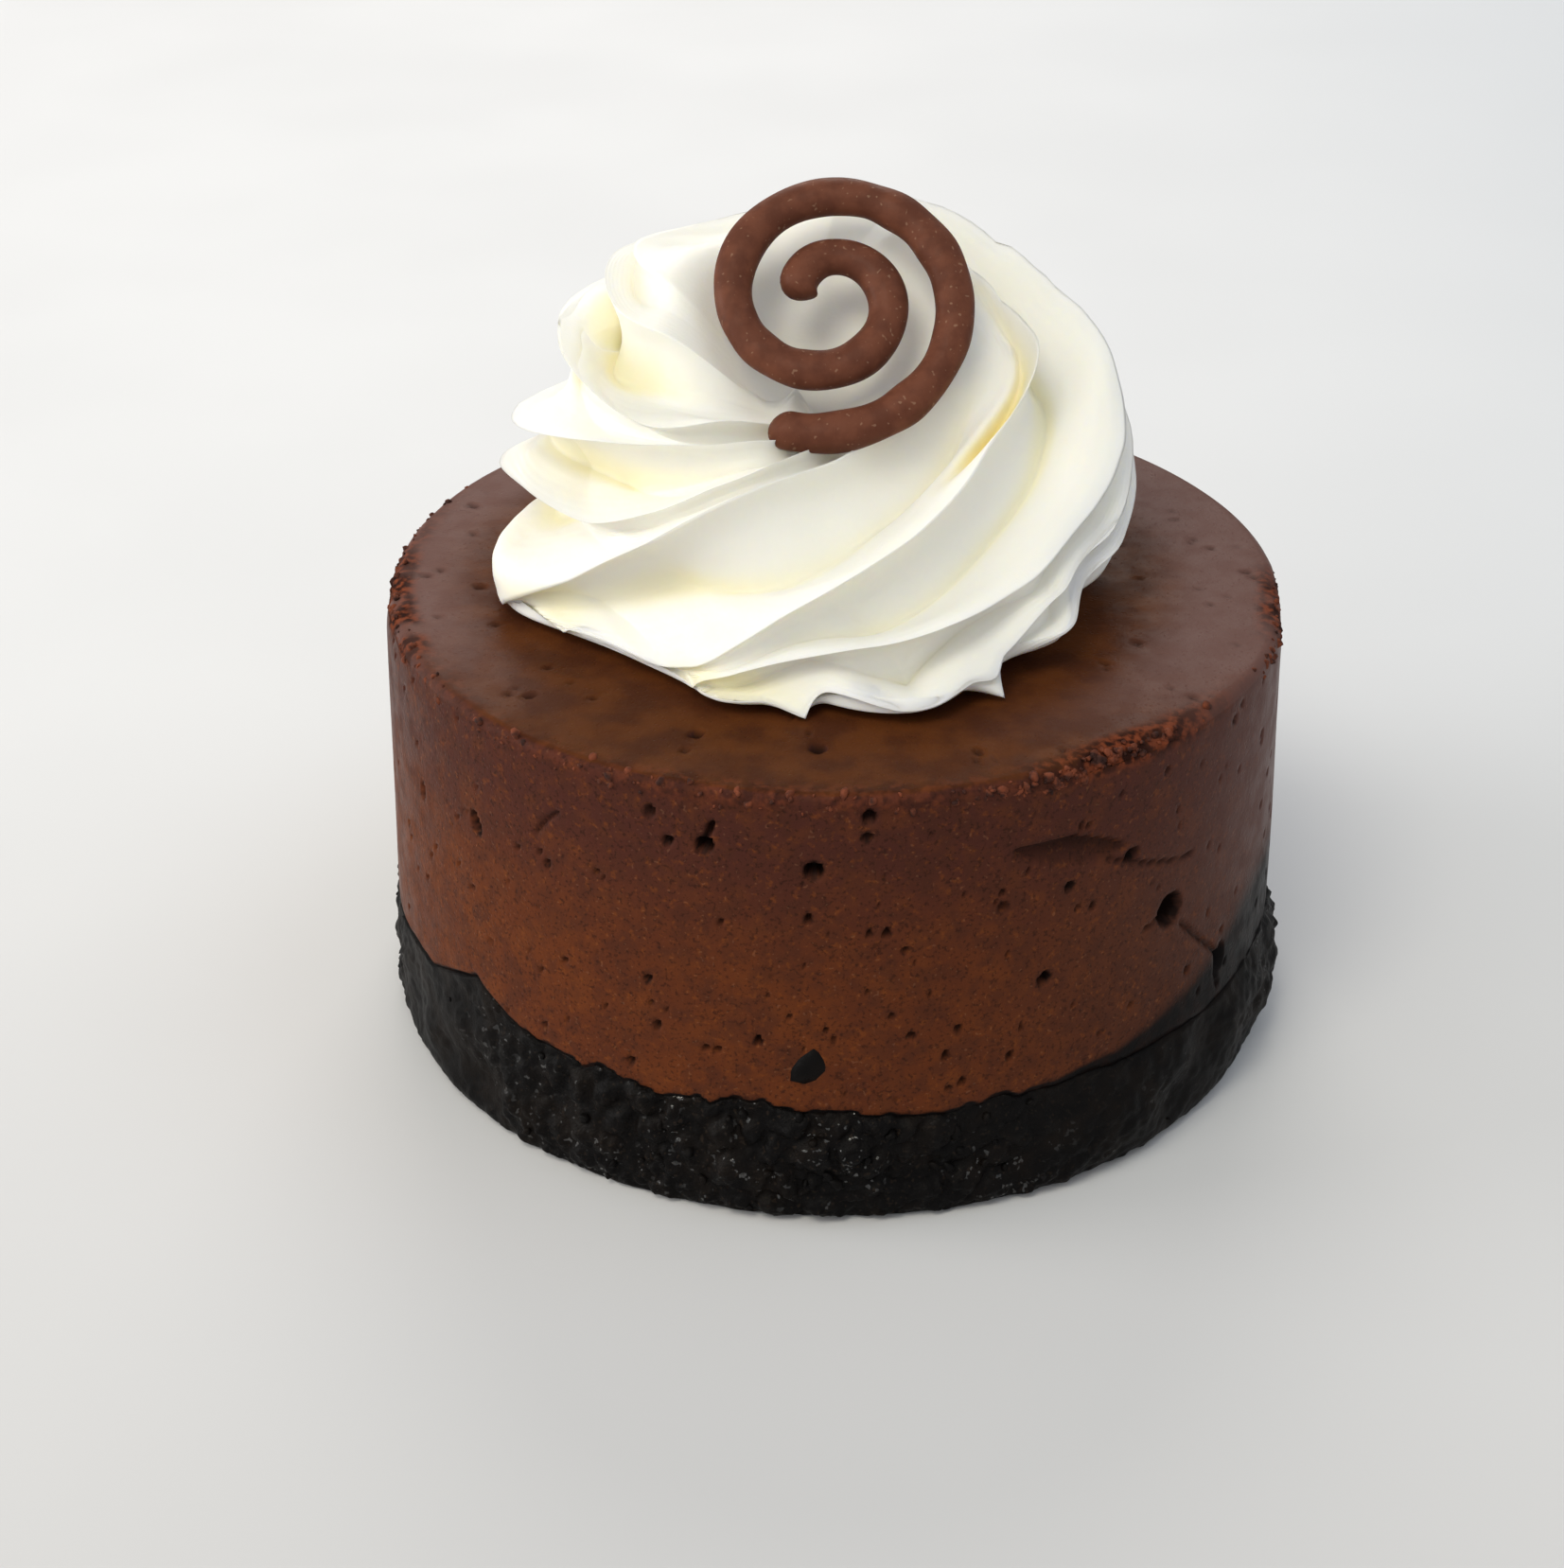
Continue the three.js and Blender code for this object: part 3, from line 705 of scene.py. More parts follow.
def filling_surface():
    surface = Surface("filling_surface", Specular_IOR_Level=0.025)
    brown = filling_top(surface, filling_brown(surface))
    rust = surface.mottle((0.020, 0.007, 0.005, 1), (0.175, 0.043, 0.018, 1), 0.9, 2, 0.4, 0.65)
    brown = surface.tint(surface.mark("torn"), brown, rust)
    # Painted shade: holes, cracks and the flake darkened where light does not reach
    brown = surface.tint(surface.mark("hole"), brown, (0.010, 0.005, 0.004, 1))
    patchy = surface.remap(surface.noise(1.4, 3), 0.25, 0.6, 0.9, 1.0)
    smear = surface.times(surface.remap(surface.mark("smear"), 0, 0.55), patchy)
    surface.feed("Base Color", surface.tint(smear, brown, (0.007, 0.006, 0.006, 1)))
    satin = surface.remap(surface.noise(2.2, 2), 0.35, 0.7, 0.34, 0.48)
    surface.feed("Roughness", surface.remap(surface.mark("torn"), 0, 1, satin, 0.8))
    grain = surface.bump(surface.noise(0.5, 3), 0.08, 0.5)
    surface.feed("Normal", surface.bump(surface.remap(surface.cells(0.55), 0.05, 0.28), 0.05, 0.5, grain))
    return surface.material


def crumb_surface():
    surface = Surface("crumb_surface", Specular_IOR_Level=0.15, Roughness=0.7)
    rust = surface.mottle((0.030, 0.010, 0.007, 1), (0.165, 0.042, 0.018, 1), 0.9, 2, 0.35, 0.65)
    surface.feed("Base Color", rust)
    surface.feed("Normal", surface.bump(surface.noise(0.3, 2), 0.1, 0.7))
    return surface.material


def cream_surface():
    surface = Surface("cream_surface", Roughness=0.5, Specular_IOR_Level=0.35, Subsurface_Weight=0.4)
    surface.feed("Subsurface Radius", (0.9, 0.75, 0.42))
    surface.feed("Subsurface Scale", 1.5 * MM)
    # Painted glow: creases and the cleft tinted a deeper yellow for light that shines through the cream, and
    # shade in its hollows
    painted_crease_glow = surface.remap(surface.mark("painted_crease_glow"), 0, 1, 0, 0.9)
    cream_with_glow = surface.tint(painted_crease_glow, (0.88, 0.864, 0.80, 1), (0.89, 0.835, 0.58, 1))
    surface.feed("Base Color", surface.tint(surface.mark("cleft"), cream_with_glow, (0.87, 0.74, 0.28, 1)))
    grain = surface.bump(surface.noise(0.35, 2), 0.03, 0.5)
    surface.feed("Normal", surface.bump(surface.noise(2.4, 2), 0.10, 0.4, grain))
    return surface.material


def chocolate_surface():
    surface = Surface("chocolate_surface", Specular_IOR_Level=0.12)
    brown = surface.mottle((0.098, 0.031, 0.0165, 1), (0.136, 0.045, 0.024, 1), 1.8, 3, 0.35, 0.65)
    surface.feed("Base Color", surface.mottle(brown, (0.4, 0.25, 0.16, 1), 0.33, 0, 0.74, 0.82, 0.3))
    surface.feed("Roughness", surface.remap(surface.noise(1.1, 2), 0.3, 0.7, 0.45, 0.62))
    surface.feed("Normal", surface.bump(surface.noise(0.6, 3), 0.08, 0.6))
    return surface.material


# A pale floor with painted shade: darker towards the front and greyer to the right, where less light falls
def floor_surface():
    surface = Surface("floor_surface", Roughness=0.75, Specular_IOR_Level=0.2)
    lit_towards_back = surface.remap(surface.along("Y"), -160 * MM, 100 * MM)
    pale = surface.mottle((0.73, 0.73, 0.74, 1), (0.76, 0.76, 0.77, 1), 60, 2, 0.3, 0.7)
    right = surface.remap(surface.along("X"), -20 * MM, 200 * MM)
    pale = surface.tint(right, pale, (0.62, 0.64, 0.67, 1))
    surface.feed("Base Color", surface.tint(lit_towards_back, (0.56, 0.555, 0.56, 1), pale))
    return surface.material


# Crust

def wall_radius(height):
    return mix(BASE_RADIUS, TOP_RADIUS, height / CAKE_HEIGHT)


def crust_edge(azimuth):
    wave = EDGE_WAVE * wall_noise(azimuth, np.zeros_like(azimuth), EDGE_WAVE_SIZE)
    peak = np.maximum(1 - np.abs(turn_between(PEAK_AZIMUTH, azimuth)) / PEAK_WIDTH, 0)
    return CRUST_HEIGHT + wave + PEAK_RISE * peak


def crust_radius(azimuth, height):
    share = np.clip(height / FOOT_HEIGHT, 0, 1)
    foot = FOOT_INSET * (1 - np.sqrt(1 - (1 - share) ** 2))
    belly = np.sin(np.pi * np.clip(height / CRUST_HEIGHT, 0, 1))
    bulge = CRUST_BULGE * belly * (0.5 + 0.5 * np.cos(np.radians(azimuth - BULGE_AZIMUTH)))
    lumps = CRUMB_RELIEF * belly * wall_noise(azimuth, height, CRUMB_SIZE)
    return wall_radius(height) - foot + bulge + lumps


# Rings on the level where crust and filling meet, from the wall inwards
def layer_rings(azimuth):
    share = np.array(LAYER_RADII)[:, None]
    height = mix(CRUST_HEIGHT, crust_edge(azimuth), smooth(2 * share - 1))
    return around(azimuth, share * BASE_RADIUS, height)


# How rough the crust's side is, from 0 where it was pressed smooth to 1
def crust_roughness(azimuth):
    calm = [share * near(azimuth, centre, width) for centre, width, share in SMOOTH_SIDES]
    return 1 - np.clip(np.sum(calm, axis=0), 0, 1)


def crust_relief(azimuth, points):
    coarse = COARSE_HEIGHT * (smooth(CELL_STEEPNESS * crumb_cells(points, COARSE_CRUMB)) - COARSE_LEVEL)
    fine = FINE_HEIGHT * (smooth(CELL_STEEPNESS * crumb_cells(points, FINE_CRUMB)) - FINE_LEVEL)
    return crust_roughness(azimuth) * (coarse + fine) + GRAIN_HEIGHT * space_noise(points, GRAIN_SIZE)


# The crust's upper edge with the crumbs that stand up along it
def ragged_edge(azimuth):
    line = around(azimuth, BASE_RADIUS, np.zeros(len(azimuth)))
    crumbs = space_noise(line, EDGE_CRUMB) + 0.5 * space_noise(line, EDGE_CRUMB / 3)
    return crust_edge(azimuth) + EDGE_RAGGED * crust_roughness(azimuth) * crumbs


def make_crust(surface):
    azimuth = wall_columns()
    share = np.linspace(0, 1, CRUST_ROWS)[:, None]
    height = share * ragged_edge(azimuth)
    radius = crust_radius(azimuth, height)
    relief = crust_relief(azimuth, around(azimuth, radius, height))
    relief = relief * smooth(height / RELIEF_START)
    wall = around(azimuth, radius + relief, height)
    rings = np.concatenate([wall, layer_rings(azimuth)])
    rough = np.broadcast_to(crust_roughness(azimuth), rings.shape[:2])
    points, faces = skin((0, 0, 0), rings, (0, 0, CRUST_HEIGHT))
    make_piece("crust_body", points, faces, surface, {"rough": rough}, "crust")


def make_loose_crumbs(surface):
    azimuth = random.uniform(0, TURN, LOOSE_CRUMBS)
    share = random.uniform(*LOOSE_LEVELS, LOOSE_CRUMBS) ** LOOSE_POWER
    keep = random.uniform(0, 1, LOOSE_CRUMBS) < crust_roughness(azimuth) ** 2
    azimuth = azimuth[keep]
    share = share[keep]
    size = random.uniform(*LOOSE_SIZE, len(azimuth))
    height = np.maximum(share * crust_edge(azimuth) - LOOSE_DROP, size)
    places = around(azimuth, crust_radius(azimuth, height) - LOOSE_INSET * size, height)
    make_crumbs("crust_crumbs", places, size, surface)


def make_sunk_crumb(surface):
    azimuth, height, size = SUNK_CRUMB
    place = around(azimuth, wall_radius(height) - SUNK_SHARE * size, height)
    make_crumbs("sunk_crumb", [place], [size], surface, SUNK_STRETCH)


# Filling

def chip_depth(azimuth, height):
    ragged = 0.5 + 0.5 * wall_noise(azimuth, height, CHIP_SIZE)
    reach = [depth * near(azimuth, centre, width) for centre, width, depth in CHIPS]
    return ragged * np.max(reach, axis=0)


def filling_radius(azimuth, height):
    return wall_radius(height) + WALL_WAVE * wall_noise(azimuth, height, WALL_WAVE_SIZE)


# Places on the wall in the axes of a tilted oval, whose edge is 1 away from its middle
def oval_axes(azimuth, height, oval):
    centre, level, half_width, half_height, tilt = oval
    across = np.radians(turn_between(centre, azimuth)) * wall_radius(level)
    up = height - level
    turn = np.radians(tilt)
    along = across * np.cos(turn) + up * np.sin(turn)
    aside = up * np.cos(turn) - across * np.sin(turn)
    return along / half_width, aside / half_height


# How far inside the oval each place is: 1 in the middle, 0 at its edge
def oval_share(azimuth, height, oval):
    return 1 - np.hypot(*oval_axes(azimuth, height, oval))


# A flake broken from the wall: pointed at both ends and deepest along its upper edge
def scuff_share(azimuth, height):
    along, aside = oval_axes(azimuth, height, SCUFF)
    inside = 1 - np.abs(along) - aside ** 2
    return smooth(inside / SCUFF_EDGE) * (1 - SCUFF_LEAN + SCUFF_LEAN * aside)


def crack_share(azimuth, height, run):
    nearest = np.full(np.broadcast(azimuth, height).shape, np.inf)
    for (start, low), (end, high) in zip(run, run[1:]):
        scale = np.radians(1) * wall_radius(low)
        span = np.array([(end - start) * scale, high - low])
        across = turn_between(start, azimuth) * scale
        up = height - low
        share = np.clip((across * span[0] + up * span[1]) / (span @ span), 0, 1)
        nearest = np.minimum(nearest, np.hypot(across - share * span[0], up - share * span[1]))
    return 1 - nearest / CRACK_WIDTH


def small_holes():
    azimuth = random.uniform(0, TURN, SMALL_HOLES)
    height = random.uniform(SMALL_HOLE_LOW, SMALL_HOLE_HIGH, SMALL_HOLES)
    size = mix(*SMALL_HOLE_SIZE, random.uniform(0, 1, SMALL_HOLES) ** SMALL_HOLE_POWER)
    squeeze = random.uniform(*SMALL_HOLE_SQUEEZE, SMALL_HOLES)
    upright = np.zeros(SMALL_HOLES)
    return list(zip(azimuth, height, size, size * squeeze, upright, SMALL_HOLE_DEPTH * size))


# Depth of the holes and cracks, and the painted shade that darkens the wall in them
def wall_holes(azimuth, height):
    depth = np.zeros(height.shape)
    dark = np.zeros(height.shape)
    for *oval, deepest in list(WALL_HOLES) + small_holes():
        share = oval_share(azimuth, height, oval)
        depth = np.maximum(depth, deepest * smooth(share / HOLE_SLOPE))
        dark = np.maximum(dark, smooth(share / HOLE_RIM + 0.5) * min(deepest, 1))
    for run in WALL_CRACKS:
        share = smooth(crack_share(azimuth, height, run))
        depth = np.maximum(depth, CRACK_DEPTH * share)
        dark = np.maximum(dark, CRACK_SHADE * share)
    return depth, dark


def top_holes(points):
    places = list(TOP_HOLES)
    for _ in range(SMALL_TOP_HOLES):
        x, y = around(random.uniform(0, TURN), random.uniform(*SMALL_TOP_RADII), 0.0)[:2]
        size = random.uniform(*SMALL_TOP_SIZE)
        places.append((x, y, size, SMALL_TOP_DEPTH * size))
    depth = np.zeros(points.shape[:-1])
    for x, y, size, deepest in places:
        away = level_distance(points, (x, y))
        depth = np.maximum(depth, deepest * smooth((1 - away / size) / TOP_HOLE_SLOPE))
    return depth


# Where the rim is torn: strongly at the chips, faintly along the front
def torn_share(azimuth, points):
    chips = np.max([near(azimuth, centre, TORN_CHIP_SHARE * width) for centre, width, _ in CHIPS], axis=0)
    middle, half_width, share = TORN_FRONT
    front = share * near(azimuth, middle, half_width)
    level, swing = TORN_PATCH
    patchy = smooth(level + swing * space_noise(points, TORN_PATCH_SIZE))
    return np.clip(np.maximum(chips, front) * patchy, 0, 1)


# Painted sheen where light skims the filling: on the wall's right edge, and on the top away from the cream,
# which shades the top close to it
def edge_bloom(azimuth, points):
    rise = smooth((points[..., 2] - CRUST_HEIGHT) / EDGE_SHEEN_RISE)
    return rise * near(azimuth, EDGE_SHEEN_AZIMUTH, EDGE_SHEEN_WIDTH)


def top_bloom(points):
    away = level_distance(points, CREAM_CENTRE) - CREAM_RADIUS
    back = points[..., 1] + SHEEN_SLANT * np.maximum(points[..., 0], 0)
    return smooth((back - SHEEN_START) / SHEEN_REACH) * smooth(away / SHEEN_AWAY)


# A band of the filling's rings and the marks that its surface reads, which are 0 where none is given
def band(rings, **marks):
    blank = np.zeros(rings.shape[:-1])
    return rings, {name: marks.get(name, blank) for name in FILLING_MARKS}


def filling_floor(azimuth):
    return band(layer_rings(azimuth)[::-1] - (0, 0, GAP))


def filling_wall(azimuth):
    share = np.linspace(0, 1, WALL_ROWS)[:, None]
    height = mix(crust_edge(azimuth) - FILLING_SINK, WALL_TOP, share)
    above = height - ragged_edge(azimuth)
    smeared = near(azimuth, SMEAR_AZIMUTH, SMEAR_WIDTH)
    chip = chip_depth(azimuth, height) * smooth((height - WALL_TOP + CHIP_REACH) / CHIP_REACH)
    radius = filling_radius(azimuth, height) - CHIP_WALL_SHARE * chip
    radius = radius - EDGE_TUCK * (1 - smeared) * (1 - smooth(above / TUCK_HEIGHT))
    holes, dark = wall_holes(azimuth, height)
    scuff = scuff_share(azimuth, height)
    rings = around(azimuth, radius - holes - SCUFF_DEPTH * scuff, height)
    # Painted shade darkens the holes, cracks and flake, and a painted sheen lightens the right edge
    return band(
        rings,
        hole=np.maximum(dark, SCUFF_SHADE * scuff),
        torn=torn_share(azimuth, rings) * smooth((height - WALL_TOP + TORN_DROP) / TORN_DROP_FADE),
        bloom=edge_bloom(azimuth, rings),
        smear=1 - smooth((above - SMEAR_START) / (SMEAR_REACH + SMEAR_RISE * smeared)),
    )


# Radius and height of the rounded rim, from 0 where it leaves the wall to 1 where it meets the top
def rim_outline(azimuth, share):
    bend = share * np.pi / 2
    chip = chip_depth(azimuth, CAKE_HEIGHT + np.maximum(2 * share - 1, 0) * CHIP_SIZE)
    height = WALL_TOP + EDGE_ROUND * np.sin(bend) - CHIP_DROP_SHARE * (1 - share) * chip
    inset = EDGE_ROUND * (1 - np.cos(bend)) + chip * mix(CHIP_WALL_SHARE, 1, share)
    return filling_radius(azimuth, height) - inset, height


def filling_rim(azimuth):
    share = np.linspace(0, 1, RIM_ROWS)[1:, None]
    rings = around(azimuth, *rim_outline(azimuth, share))
    return band(rings, torn=torn_share(azimuth, rings), bloom=top_bloom(rings))


def filling_lid(azimuth):
    share = np.concatenate([np.linspace(0, TOP_SHOWN, TOP_ROWS)[1:], TOP_HIDDEN])[:, None]
    radius = rim_outline(azimuth, 1.0)[0] * (1 - share)
    rings = around(azimuth, radius, CAKE_HEIGHT)
    holes = top_holes(rings)
    rings[..., 2] += TOP_WAVE * space_noise(rings, TOP_WAVE_SIZE) - holes
    return band(
        rings,
        hole=np.clip(holes / TOP_HOLE_SHADE, 0, 1),
        torn=torn_share(azimuth, rings) * (1 - smooth(share / TORN_TOP_SHARE)),
        bloom=top_bloom(rings),
    )


# Raises lumps of crumb where the filling is torn
def tear(rings, torn):
    lumps = TORN_HEIGHT * torn * (crumb_cells(rings, TORN_SIZE) - TORN_LEVEL)
    outward = rings * (1, 1, 0) / np.maximum(np.linalg.norm(rings[..., :2], axis=-1), 1)[..., None]
    return rings + lumps[..., None] * (outward * TORN_OUTWARD + TORN_UPWARD)


def make_filling(surface):
    azimuth = wall_columns()
    bands = [part(azimuth) for part in (filling_floor, filling_wall, filling_rim, filling_lid)]
    rings = np.concatenate([rings for rings, _ in bands])
    marks = {name: np.concatenate([marks[name] for _, marks in bands]) for name in FILLING_MARKS}
    points, faces = skin((0, 0, CRUST_HEIGHT), tear(rings, marks["torn"]), (0, 0, CAKE_HEIGHT))
    make_piece("filling_body", points, faces, surface, marks, "filling")


def make_rim_crumbs(surface):
    places = []
    sizes = []
    for centre, half_width, count in RIM_CRUMBS:
        azimuth = centre + half_width * random.normal(0, RIM_SPREAD, count)
        size = mix(*RIM_CRUMB_SIZE, random.uniform(0, 1, count) ** 2)
        height = CAKE_HEIGHT - random.uniform(0.0, RIM_DROP, count)
        above = np.maximum(height - CAKE_HEIGHT + EDGE_ROUND, 0)
        bent_in = EDGE_ROUND - np.sqrt(EDGE_ROUND ** 2 - above ** 2)
        chip = RIM_CHIP_SHARE * chip_depth(azimuth % TURN, height)
        inset = bent_in + chip + RIM_CRUMB_INSET * size
        places.append(around(azimuth, filling_radius(azimuth % TURN, height) - inset, height))
        sizes.append(size)
    make_crumbs("rim_crumbs", np.concatenate(places), np.concatenate(sizes), surface)


# Cream

# The slope where two steps meet: level at a turning point, so that the curve never overshoots
def shared_slope(before, after):
    alike = before * after > 0
    return np.where(alike, 2 * before * after / np.where(alike, before + after, 1), 0)


# A smooth curve through the stations of a ridge
def through_stations(stations, along):
    last = stations.shape[-1] - 1
    step = np.clip(np.floor(along * last).astype(int), 0, last - 1)
    share = along * last - step

    def pick(place):
        return np.take_along_axis(stations, np.clip(place, 0, last)[..., None], axis=-1)[..., 0]

    start = pick(step)
    end = pick(step + 1)
    slope = end - start
    slope_in = np.where(step > 0, shared_slope(start - pick(step - 1), slope), slope)
    slope_out = np.where(step < last - 1, shared_slope(slope, pick(step + 2) - end), slope)
    square = 3 * slope - 2 * slope_in - slope_out
    cubic = slope_in + slope_out - 2 * slope
    return start + share * (slope_in + share * (square + share * cubic))


# Azimuth and rise between two neighbouring crests
def face_place(phase, along):
    index = np.floor(phase).astype(int)
    ends = []
    for crest in (index, index + 1):
        turns, ridge = np.divmod(crest, len(RIDGE_RISES))
        azimuth = TURN * turns + through_stations(RIDGE_AZIMUTHS[ridge], along)
        ends.append((azimuth, through_stations(RIDGE_RISES[ridge], along)))
    return [mix(here, after, phase - index) for here, after in zip(*ends)]


def facing(azimuth, towards):
    return np.maximum(np.cos(np.radians(azimuth - towards)), 0) ** FACING_POWER


# A soft spot on the cream's side
def side_spot(azimuth, rise, centre, half_width, level, half_height, size):
    return size * near(azimuth, centre, half_width) * bell(rise, level, half_height)


def cream_reach(azimuth, rise):
    dents = [
        depth * near(azimuth, centre, width) * (1 - smooth(rise / fade))
        for centre, width, depth, fade in FOOT_DENTS
    ]
    swells = [side_spot(azimuth, rise, *swell) for swell in SIDE_SWELLS]
    reach = CREAM_RADIUS - FRONT_INSET * facing(azimuth, FRONT_AZIMUTH)
    return reach + np.sum(swells, axis=0) - np.sum(dents, axis=0)


# The smooth dome that the crests lie on; below the foot it turns in under itself
def dome_points(azimuth, rise):
    side = facing(azimuth, SIDE_AZIMUTH)
    lift = CREAM_LIFT + SIDE_LIFT * side
    reach = cream_reach(azimuth, rise)
    under = np.clip(-rise / UNDERCUT, 0, 1)
    low_radius = reach - (FOOT_TUCK + SIDE_TUCK * side) * under ** TUCK_POWER
    bend = np.clip(rise, 0, 1) * np.pi / 2
    back = smooth(SIDE_BLEND + DEPTH_BLEND * np.sin(np.radians(azimuth)))
    top = CREAM_HEIGHT + CREAM_TILT * np.cos(np.radians(azimuth - TILT_AZIMUTH))
    top = top + sum(rise_by * near(azimuth, centre, width) for centre, width, rise_by in BACK_LIFTS)
    high_radius = reach * np.maximum(np.cos(bend), 0) ** mix(FRONT_ROUND, BACK_ROUND, back)
    high = mix(EYE_HEIGHT, mix(lift, top, np.sin(bend)), smooth(high_radius / EYE_RADIUS))
    radius = np.where(rise < 0, low_radius, high_radius)
    height = np.where(rise < 0, lift * (1 - under), high)
    return around(azimuth, radius, height) + (*CREAM_CENTRE, CAKE_HEIGHT + GAP)


def unit(vectors):
    return vectors / np.maximum(np.linalg.norm(vectors, axis=-1, keepdims=True), 1e-6)


def dome_outward(azimuth, rise):
    rise = np.clip(rise, SLOPE_STEP - UNDERCUT, EYE_LIMIT)
    east = dome_points(azimuth + 1, rise) - dome_points(azimuth - 1, rise)
    north = dome_points(azimuth, rise + SLOPE_STEP) - dome_points(azimuth, rise - SLOPE_STEP)
    return unit(np.cross(east, north))


# A sharp crest with a hollow face on its lower side and a swelling one that runs on to the next crest
def ridge_profile(share, valley, swell_power):
    hollow = np.maximum(1 - share / valley, 0) ** HOLLOW_POWER - 1
    swell = -(np.maximum(1 - (share - valley) / (1 - valley), 0) ** swell_power)
    return np.where(share < valley, hollow, swell)


# A soft spot on the faces between the crests
def face_spot(phase, along, centre, half_width, middle, half_length, size):
    return size * bell(phase, centre, half_width) * bell(along, middle, half_length)


# How much of its depth a valley keeps: less where the dome bends so tightly that the cream would fold
def valley_share(phase, along):
    return 1 - np.sum([face_spot(phase, along, *fold) for fold in SHALLOW_VALLEYS], axis=0)


def ragged_height(points):
    away = level_distance(points, RAGGED_PLACE)
    flakes = space_noise(points, RAGGED_SIZE) + 0.5 * space_noise(points, RAGGED_SIZE / 2)
    return RAGGED_HEIGHT * bell(away, 0, RAGGED_RADIUS) * flakes


# The direction across a face, square to its crests, and the distance between them
def face_across(phase, along):
    step = SLOPE_STEP
    ahead = dome_points(*face_place(phase, np.minimum(along + step, 1)))
    tangent = unit(ahead - dome_points(*face_place(phase, np.maximum(along - step, 0))))
    across = dome_points(*face_place(phase + step, along)) - dome_points(*face_place(phase - step, along))
    across = (across - tangent * np.sum(across * tangent, axis=-1, keepdims=True)) / (2 * step)
    return unit(across), np.linalg.norm(across, axis=-1)


# How far the ridges and their roughness have faded out towards the eye and the foot
def ridge_fade(rise):
    return smooth((1 - rise) / EYE_FADE) * smooth(1 + rise / FOOT_FADE)


def ridge_depth(phase, along, spacing):
    azimuth, rise = face_place(phase, along)
    low = mix(*FOOT_DEPTH, facing(azimuth, FRONT_FACES))
    foot = mix(low, 1, smooth(rise / FOOT_DEPTH_RISE))
    depth = np.minimum(RIDGE_DEPTH, DEPTH_PER_SPACING * spacing)
    return depth * ridge_fade(rise) * foot * valley_share(phase, along)


# Small unevenness of the cream: wobbling crests, furrows, ragged flakes, the blade and the cleft
def cream_roughness(points, phase, along):
    fade = ridge_fade(face_place(phase, along)[1])
    furrow = FURROW * fade * np.cos(2 * np.pi * FURROWS_PER_RIDGE * (phase - np.floor(phase)))
    wobble = CREST_WOBBLE * fade * space_noise(points, WOBBLE_SIZE)
    cleft = CLEFT_DEPTH * face_spot(phase, along, *CLEFT)
    return wobble + furrow + ragged_height(points) + face_spot(phase, along, *BLADE) - cleft


# The rosette's surface, with marks for the painted yellow glow in its creases and in the cleft, where light
# shines through the cream
def cream_points(phase, along):
    azimuth, rise = face_place(phase, along)
    points = dome_points(azimuth, rise)
    across, spacing = face_across(phase, along)
    depth = ridge_depth(phase, along, spacing)
    front = facing(azimuth, FRONT_FACES)
    valley = mix(*VALLEY, front)
    share = phase - np.floor(phase)
    profile = ridge_profile(share, valley, mix(*SWELL_POWER, front))
    lift = depth * profile + cream_roughness(points, phase, along)
    tuck = -OVERHANG * depth * np.sin(np.pi * np.clip(share / valley, 0, 1))
    moved = points + dome_outward(azimuth, rise) * lift[..., None] + across * tuck[..., None]
    # Painted yellow glow along each valley and in the hollows at the foot, for light that shines through the
    # cream
    crevice_glow = bell(share, valley, mix(*CREVICE_GLOW_WIDTH, front)) * mix(*CREASE_GLOW, front)
    foot_glows = [side_spot(azimuth, rise, *hollow) for hollow in FOOT_GLOWS]
    painted_crease_glow = np.max([crevice_glow * smooth(depth / RIDGE_DEPTH), *foot_glows], axis=0)
    return moved, painted_crease_glow, face_spot(phase, along, *CLEFT)


def raise_eye_peaks(points):
    for x, y, radius, height in EYE_PEAKS:
        away = level_distance(points, (x, y)) / radius
        points[..., 2] += height * np.maximum(1 - away, 0) ** EYE_PEAK_POWER
    return points


# Draws the surface out to each torn tip from the place that lies nearest to it
def pull_tips(points):
    for place, radius in CREAM_TIPS:
        away = np.linalg.norm(points - place, axis=-1)
        root = points[np.unravel_index(away.argmin(), away.shape)].copy()
        share = np.maximum(1 - np.linalg.norm(points - root, axis=-1) / radius, 0) ** TIP_POWER
        points = points + share[..., None] * (place - root)
    return points


def make_cream(surface):
    phase = np.arange(len(RIDGE_RISES) * RIDGE_COLUMNS) / RIDGE_COLUMNS
    along = np.linspace(0, 1, CREAM_ROWS, endpoint=False)
    phase, along = np.meshgrid(phase, along)
    rings, painted_crease_glow, cleft = cream_points(phase, along)
    rings = pull_tips(raise_eye_peaks(rings))
    lowest = CAKE_HEIGHT - CREAM_SINK
    rings[..., 2] = np.maximum(rings[..., 2], lowest)
    eye = (*CREAM_CENTRE, CAKE_HEIGHT + GAP + EYE_HEIGHT)
    points, faces = skin((*CREAM_CENTRE, lowest), rings, eye)
    marks = {"painted_crease_glow": painted_crease_glow, "cleft": cleft}
    make_piece("cream_rosette", points, faces, surface, marks, "cream")


# Spiral

def spiral_place(share, across, through):
    angle = np.radians(SPIRAL_START + TURN * SPIRAL_TURNS * share)
    radius = SPIRAL_RADIUS - SPIRAL_PITCH * SPIRAL_TURNS * share + across
    lean = np.radians(SPIRAL_LEAN)
    up = radius * np.sin(angle)
    back = up * np.sin(lean) - through * np.cos(lean)
    height = up * np.cos(lean) + through * np.sin(lean)
    return np.stack([radius * np.cos(angle), back, height], axis=-1) + SPIRAL_CENTRE


def spiral_share(length, radius):
    return length / (2 * np.pi * SPIRAL_TURNS * radius)


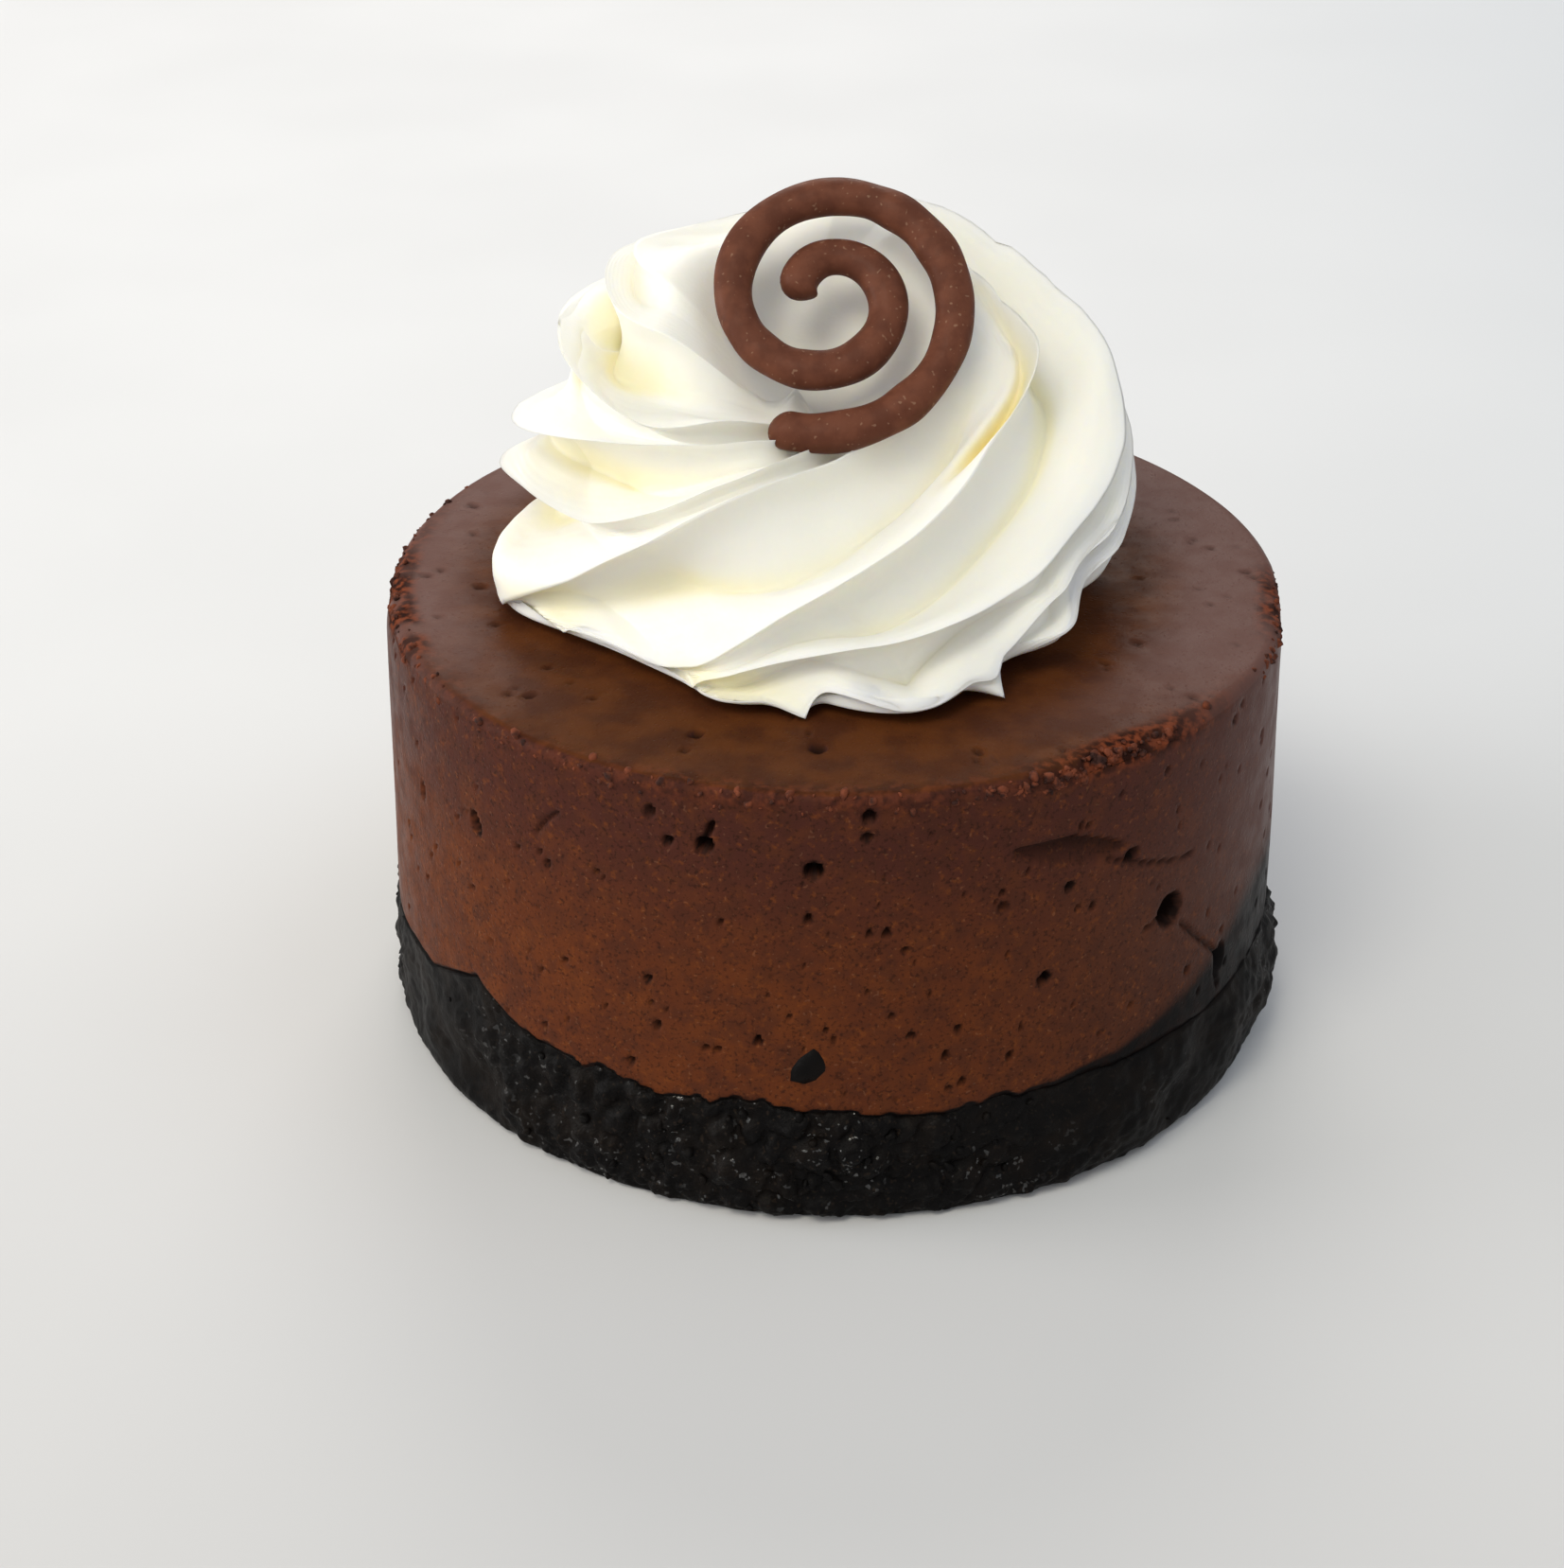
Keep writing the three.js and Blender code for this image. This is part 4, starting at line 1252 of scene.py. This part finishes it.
def make_spiral(surface):
    outer = spiral_share(BEAD_WIDTH / 2, SPIRAL_RADIUS)
    inner = spiral_share(BEAD_WIDTH / 2, SPIRAL_RADIUS - SPIRAL_PITCH * SPIRAL_TURNS)
    bends = np.linspace(0, np.pi / 2, BEAD_END_STEPS + 1)[1:-1]
    run = np.linspace(0, 1, SPIRAL_STEPS)
    share = np.concatenate([-outer * np.sin(bends)[::-1], run, 1 + inner * np.sin(bends)])[:, None]
    scale = np.concatenate([np.cos(bends)[::-1], np.ones(SPIRAL_STEPS), np.cos(bends)])[:, None]
    angle = -2 * np.pi * np.arange(BEAD_SIDES) / BEAD_SIDES
    flat = np.zeros_like(share)
    middle = spiral_place(share, flat, flat)
    scale = scale * (1 + BEAD_WAVE * space_noise(middle, BEAD_WAVE_SIZE))
    across = scale * BEAD_WIDTH / 2 * np.cos(angle)
    through = scale * BEAD_THICKNESS / 2 * np.sin(angle)
    rings = spiral_place(share, across, through)
    points, faces = skin(spiral_place(-outer, 0.0, 0.0), rings, spiral_place(1 + inner, 0.0, 0.0))
    make_piece("piped_spiral", points, faces, surface, node="chocolate_spiral")


# Studio

def make_floor():
    mesh = bpy.data.meshes.new("floor")
    corners = [(x * FLOOR_REACH, y * FLOOR_REACH, 0) for x, y in ((-1, -1), (1, -1), (1, 1), (-1, 1))]
    mesh.from_pydata(corners, [], [(0, 1, 2, 3)])
    mesh.materials.append(floor_surface())
    floor = add_object("floor", mesh)
    floor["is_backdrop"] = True


def make_lamp(name, azimuth, elevation, size, power, colour):
    data = bpy.data.lights.new(name, "AREA")
    data.shape = "DISK"
    data.size = size
    data.energy = power
    data.color = colour
    lamp = add_object(name, data)
    rise = np.radians(elevation)
    away = Vector(around(azimuth, np.cos(rise), np.sin(rise)))
    lamp.location = Vector(LAMP_AIM) + LAMP_DISTANCE * away
    lamp.rotation_euler = (-away).to_track_quat("-Z", "Y").to_euler()


# A pale room, bright on the camera's side and dim behind the cake
def make_room():
    world = bpy.data.worlds.new("room")
    world.use_nodes = True
    tree = world.node_tree
    direction = tree.nodes.new("ShaderNodeTexCoord").outputs["Generated"]
    split = tree.nodes.new("ShaderNodeSeparateXYZ")
    tree.links.new(direction, split.inputs[0])
    shade = tree.nodes.new("ShaderNodeMapRange")
    tree.links.new(split.outputs["Y"], shade.inputs["Value"])
    for socket, value in (("From Min", -1.0), ("To Min", ROOM_FRONT), ("To Max", ROOM_BACK)):
        shade.inputs[socket].default_value = value
    sky = tree.nodes["Background"]
    sky.inputs["Color"].default_value = ROOM_COLOUR
    tree.links.new(shade.outputs[0], sky.inputs["Strength"])
    bpy.context.scene.world = world


def make_camera():
    data = bpy.data.cameras.new("camera")
    data.sensor_width = SENSOR
    data.lens = FOCAL_PIXELS * SENSOR / max(FRAME_WIDTH, FRAME_HEIGHT)
    data.clip_start = CLIP_START * MM
    camera = add_object("camera", data)
    camera.location = [length * MM for length in CAMERA_PLACE]
    camera.rotation_euler = (np.radians(90 - CAMERA_ELEVATION), 0, 0)
    bpy.context.scene.camera = camera


def build():
    crust = crust_surface()
    make_crust(crust)
    make_loose_crumbs(crust)
    make_sunk_crumb(crust)
    make_filling(filling_surface())
    make_rim_crumbs(crumb_surface())
    make_cream(cream_surface())
    make_spiral(chocolate_surface())
    make_floor()
    make_room()
    for lamp in LAMPS:
        make_lamp(*lamp)
    make_camera()
    bpy.context.scene.view_settings.view_transform = "Standard"


build()
plain = lambda box: [list(corner) for corner in box]
{"cad": plain(cad_box), "visual": plain(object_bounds())}
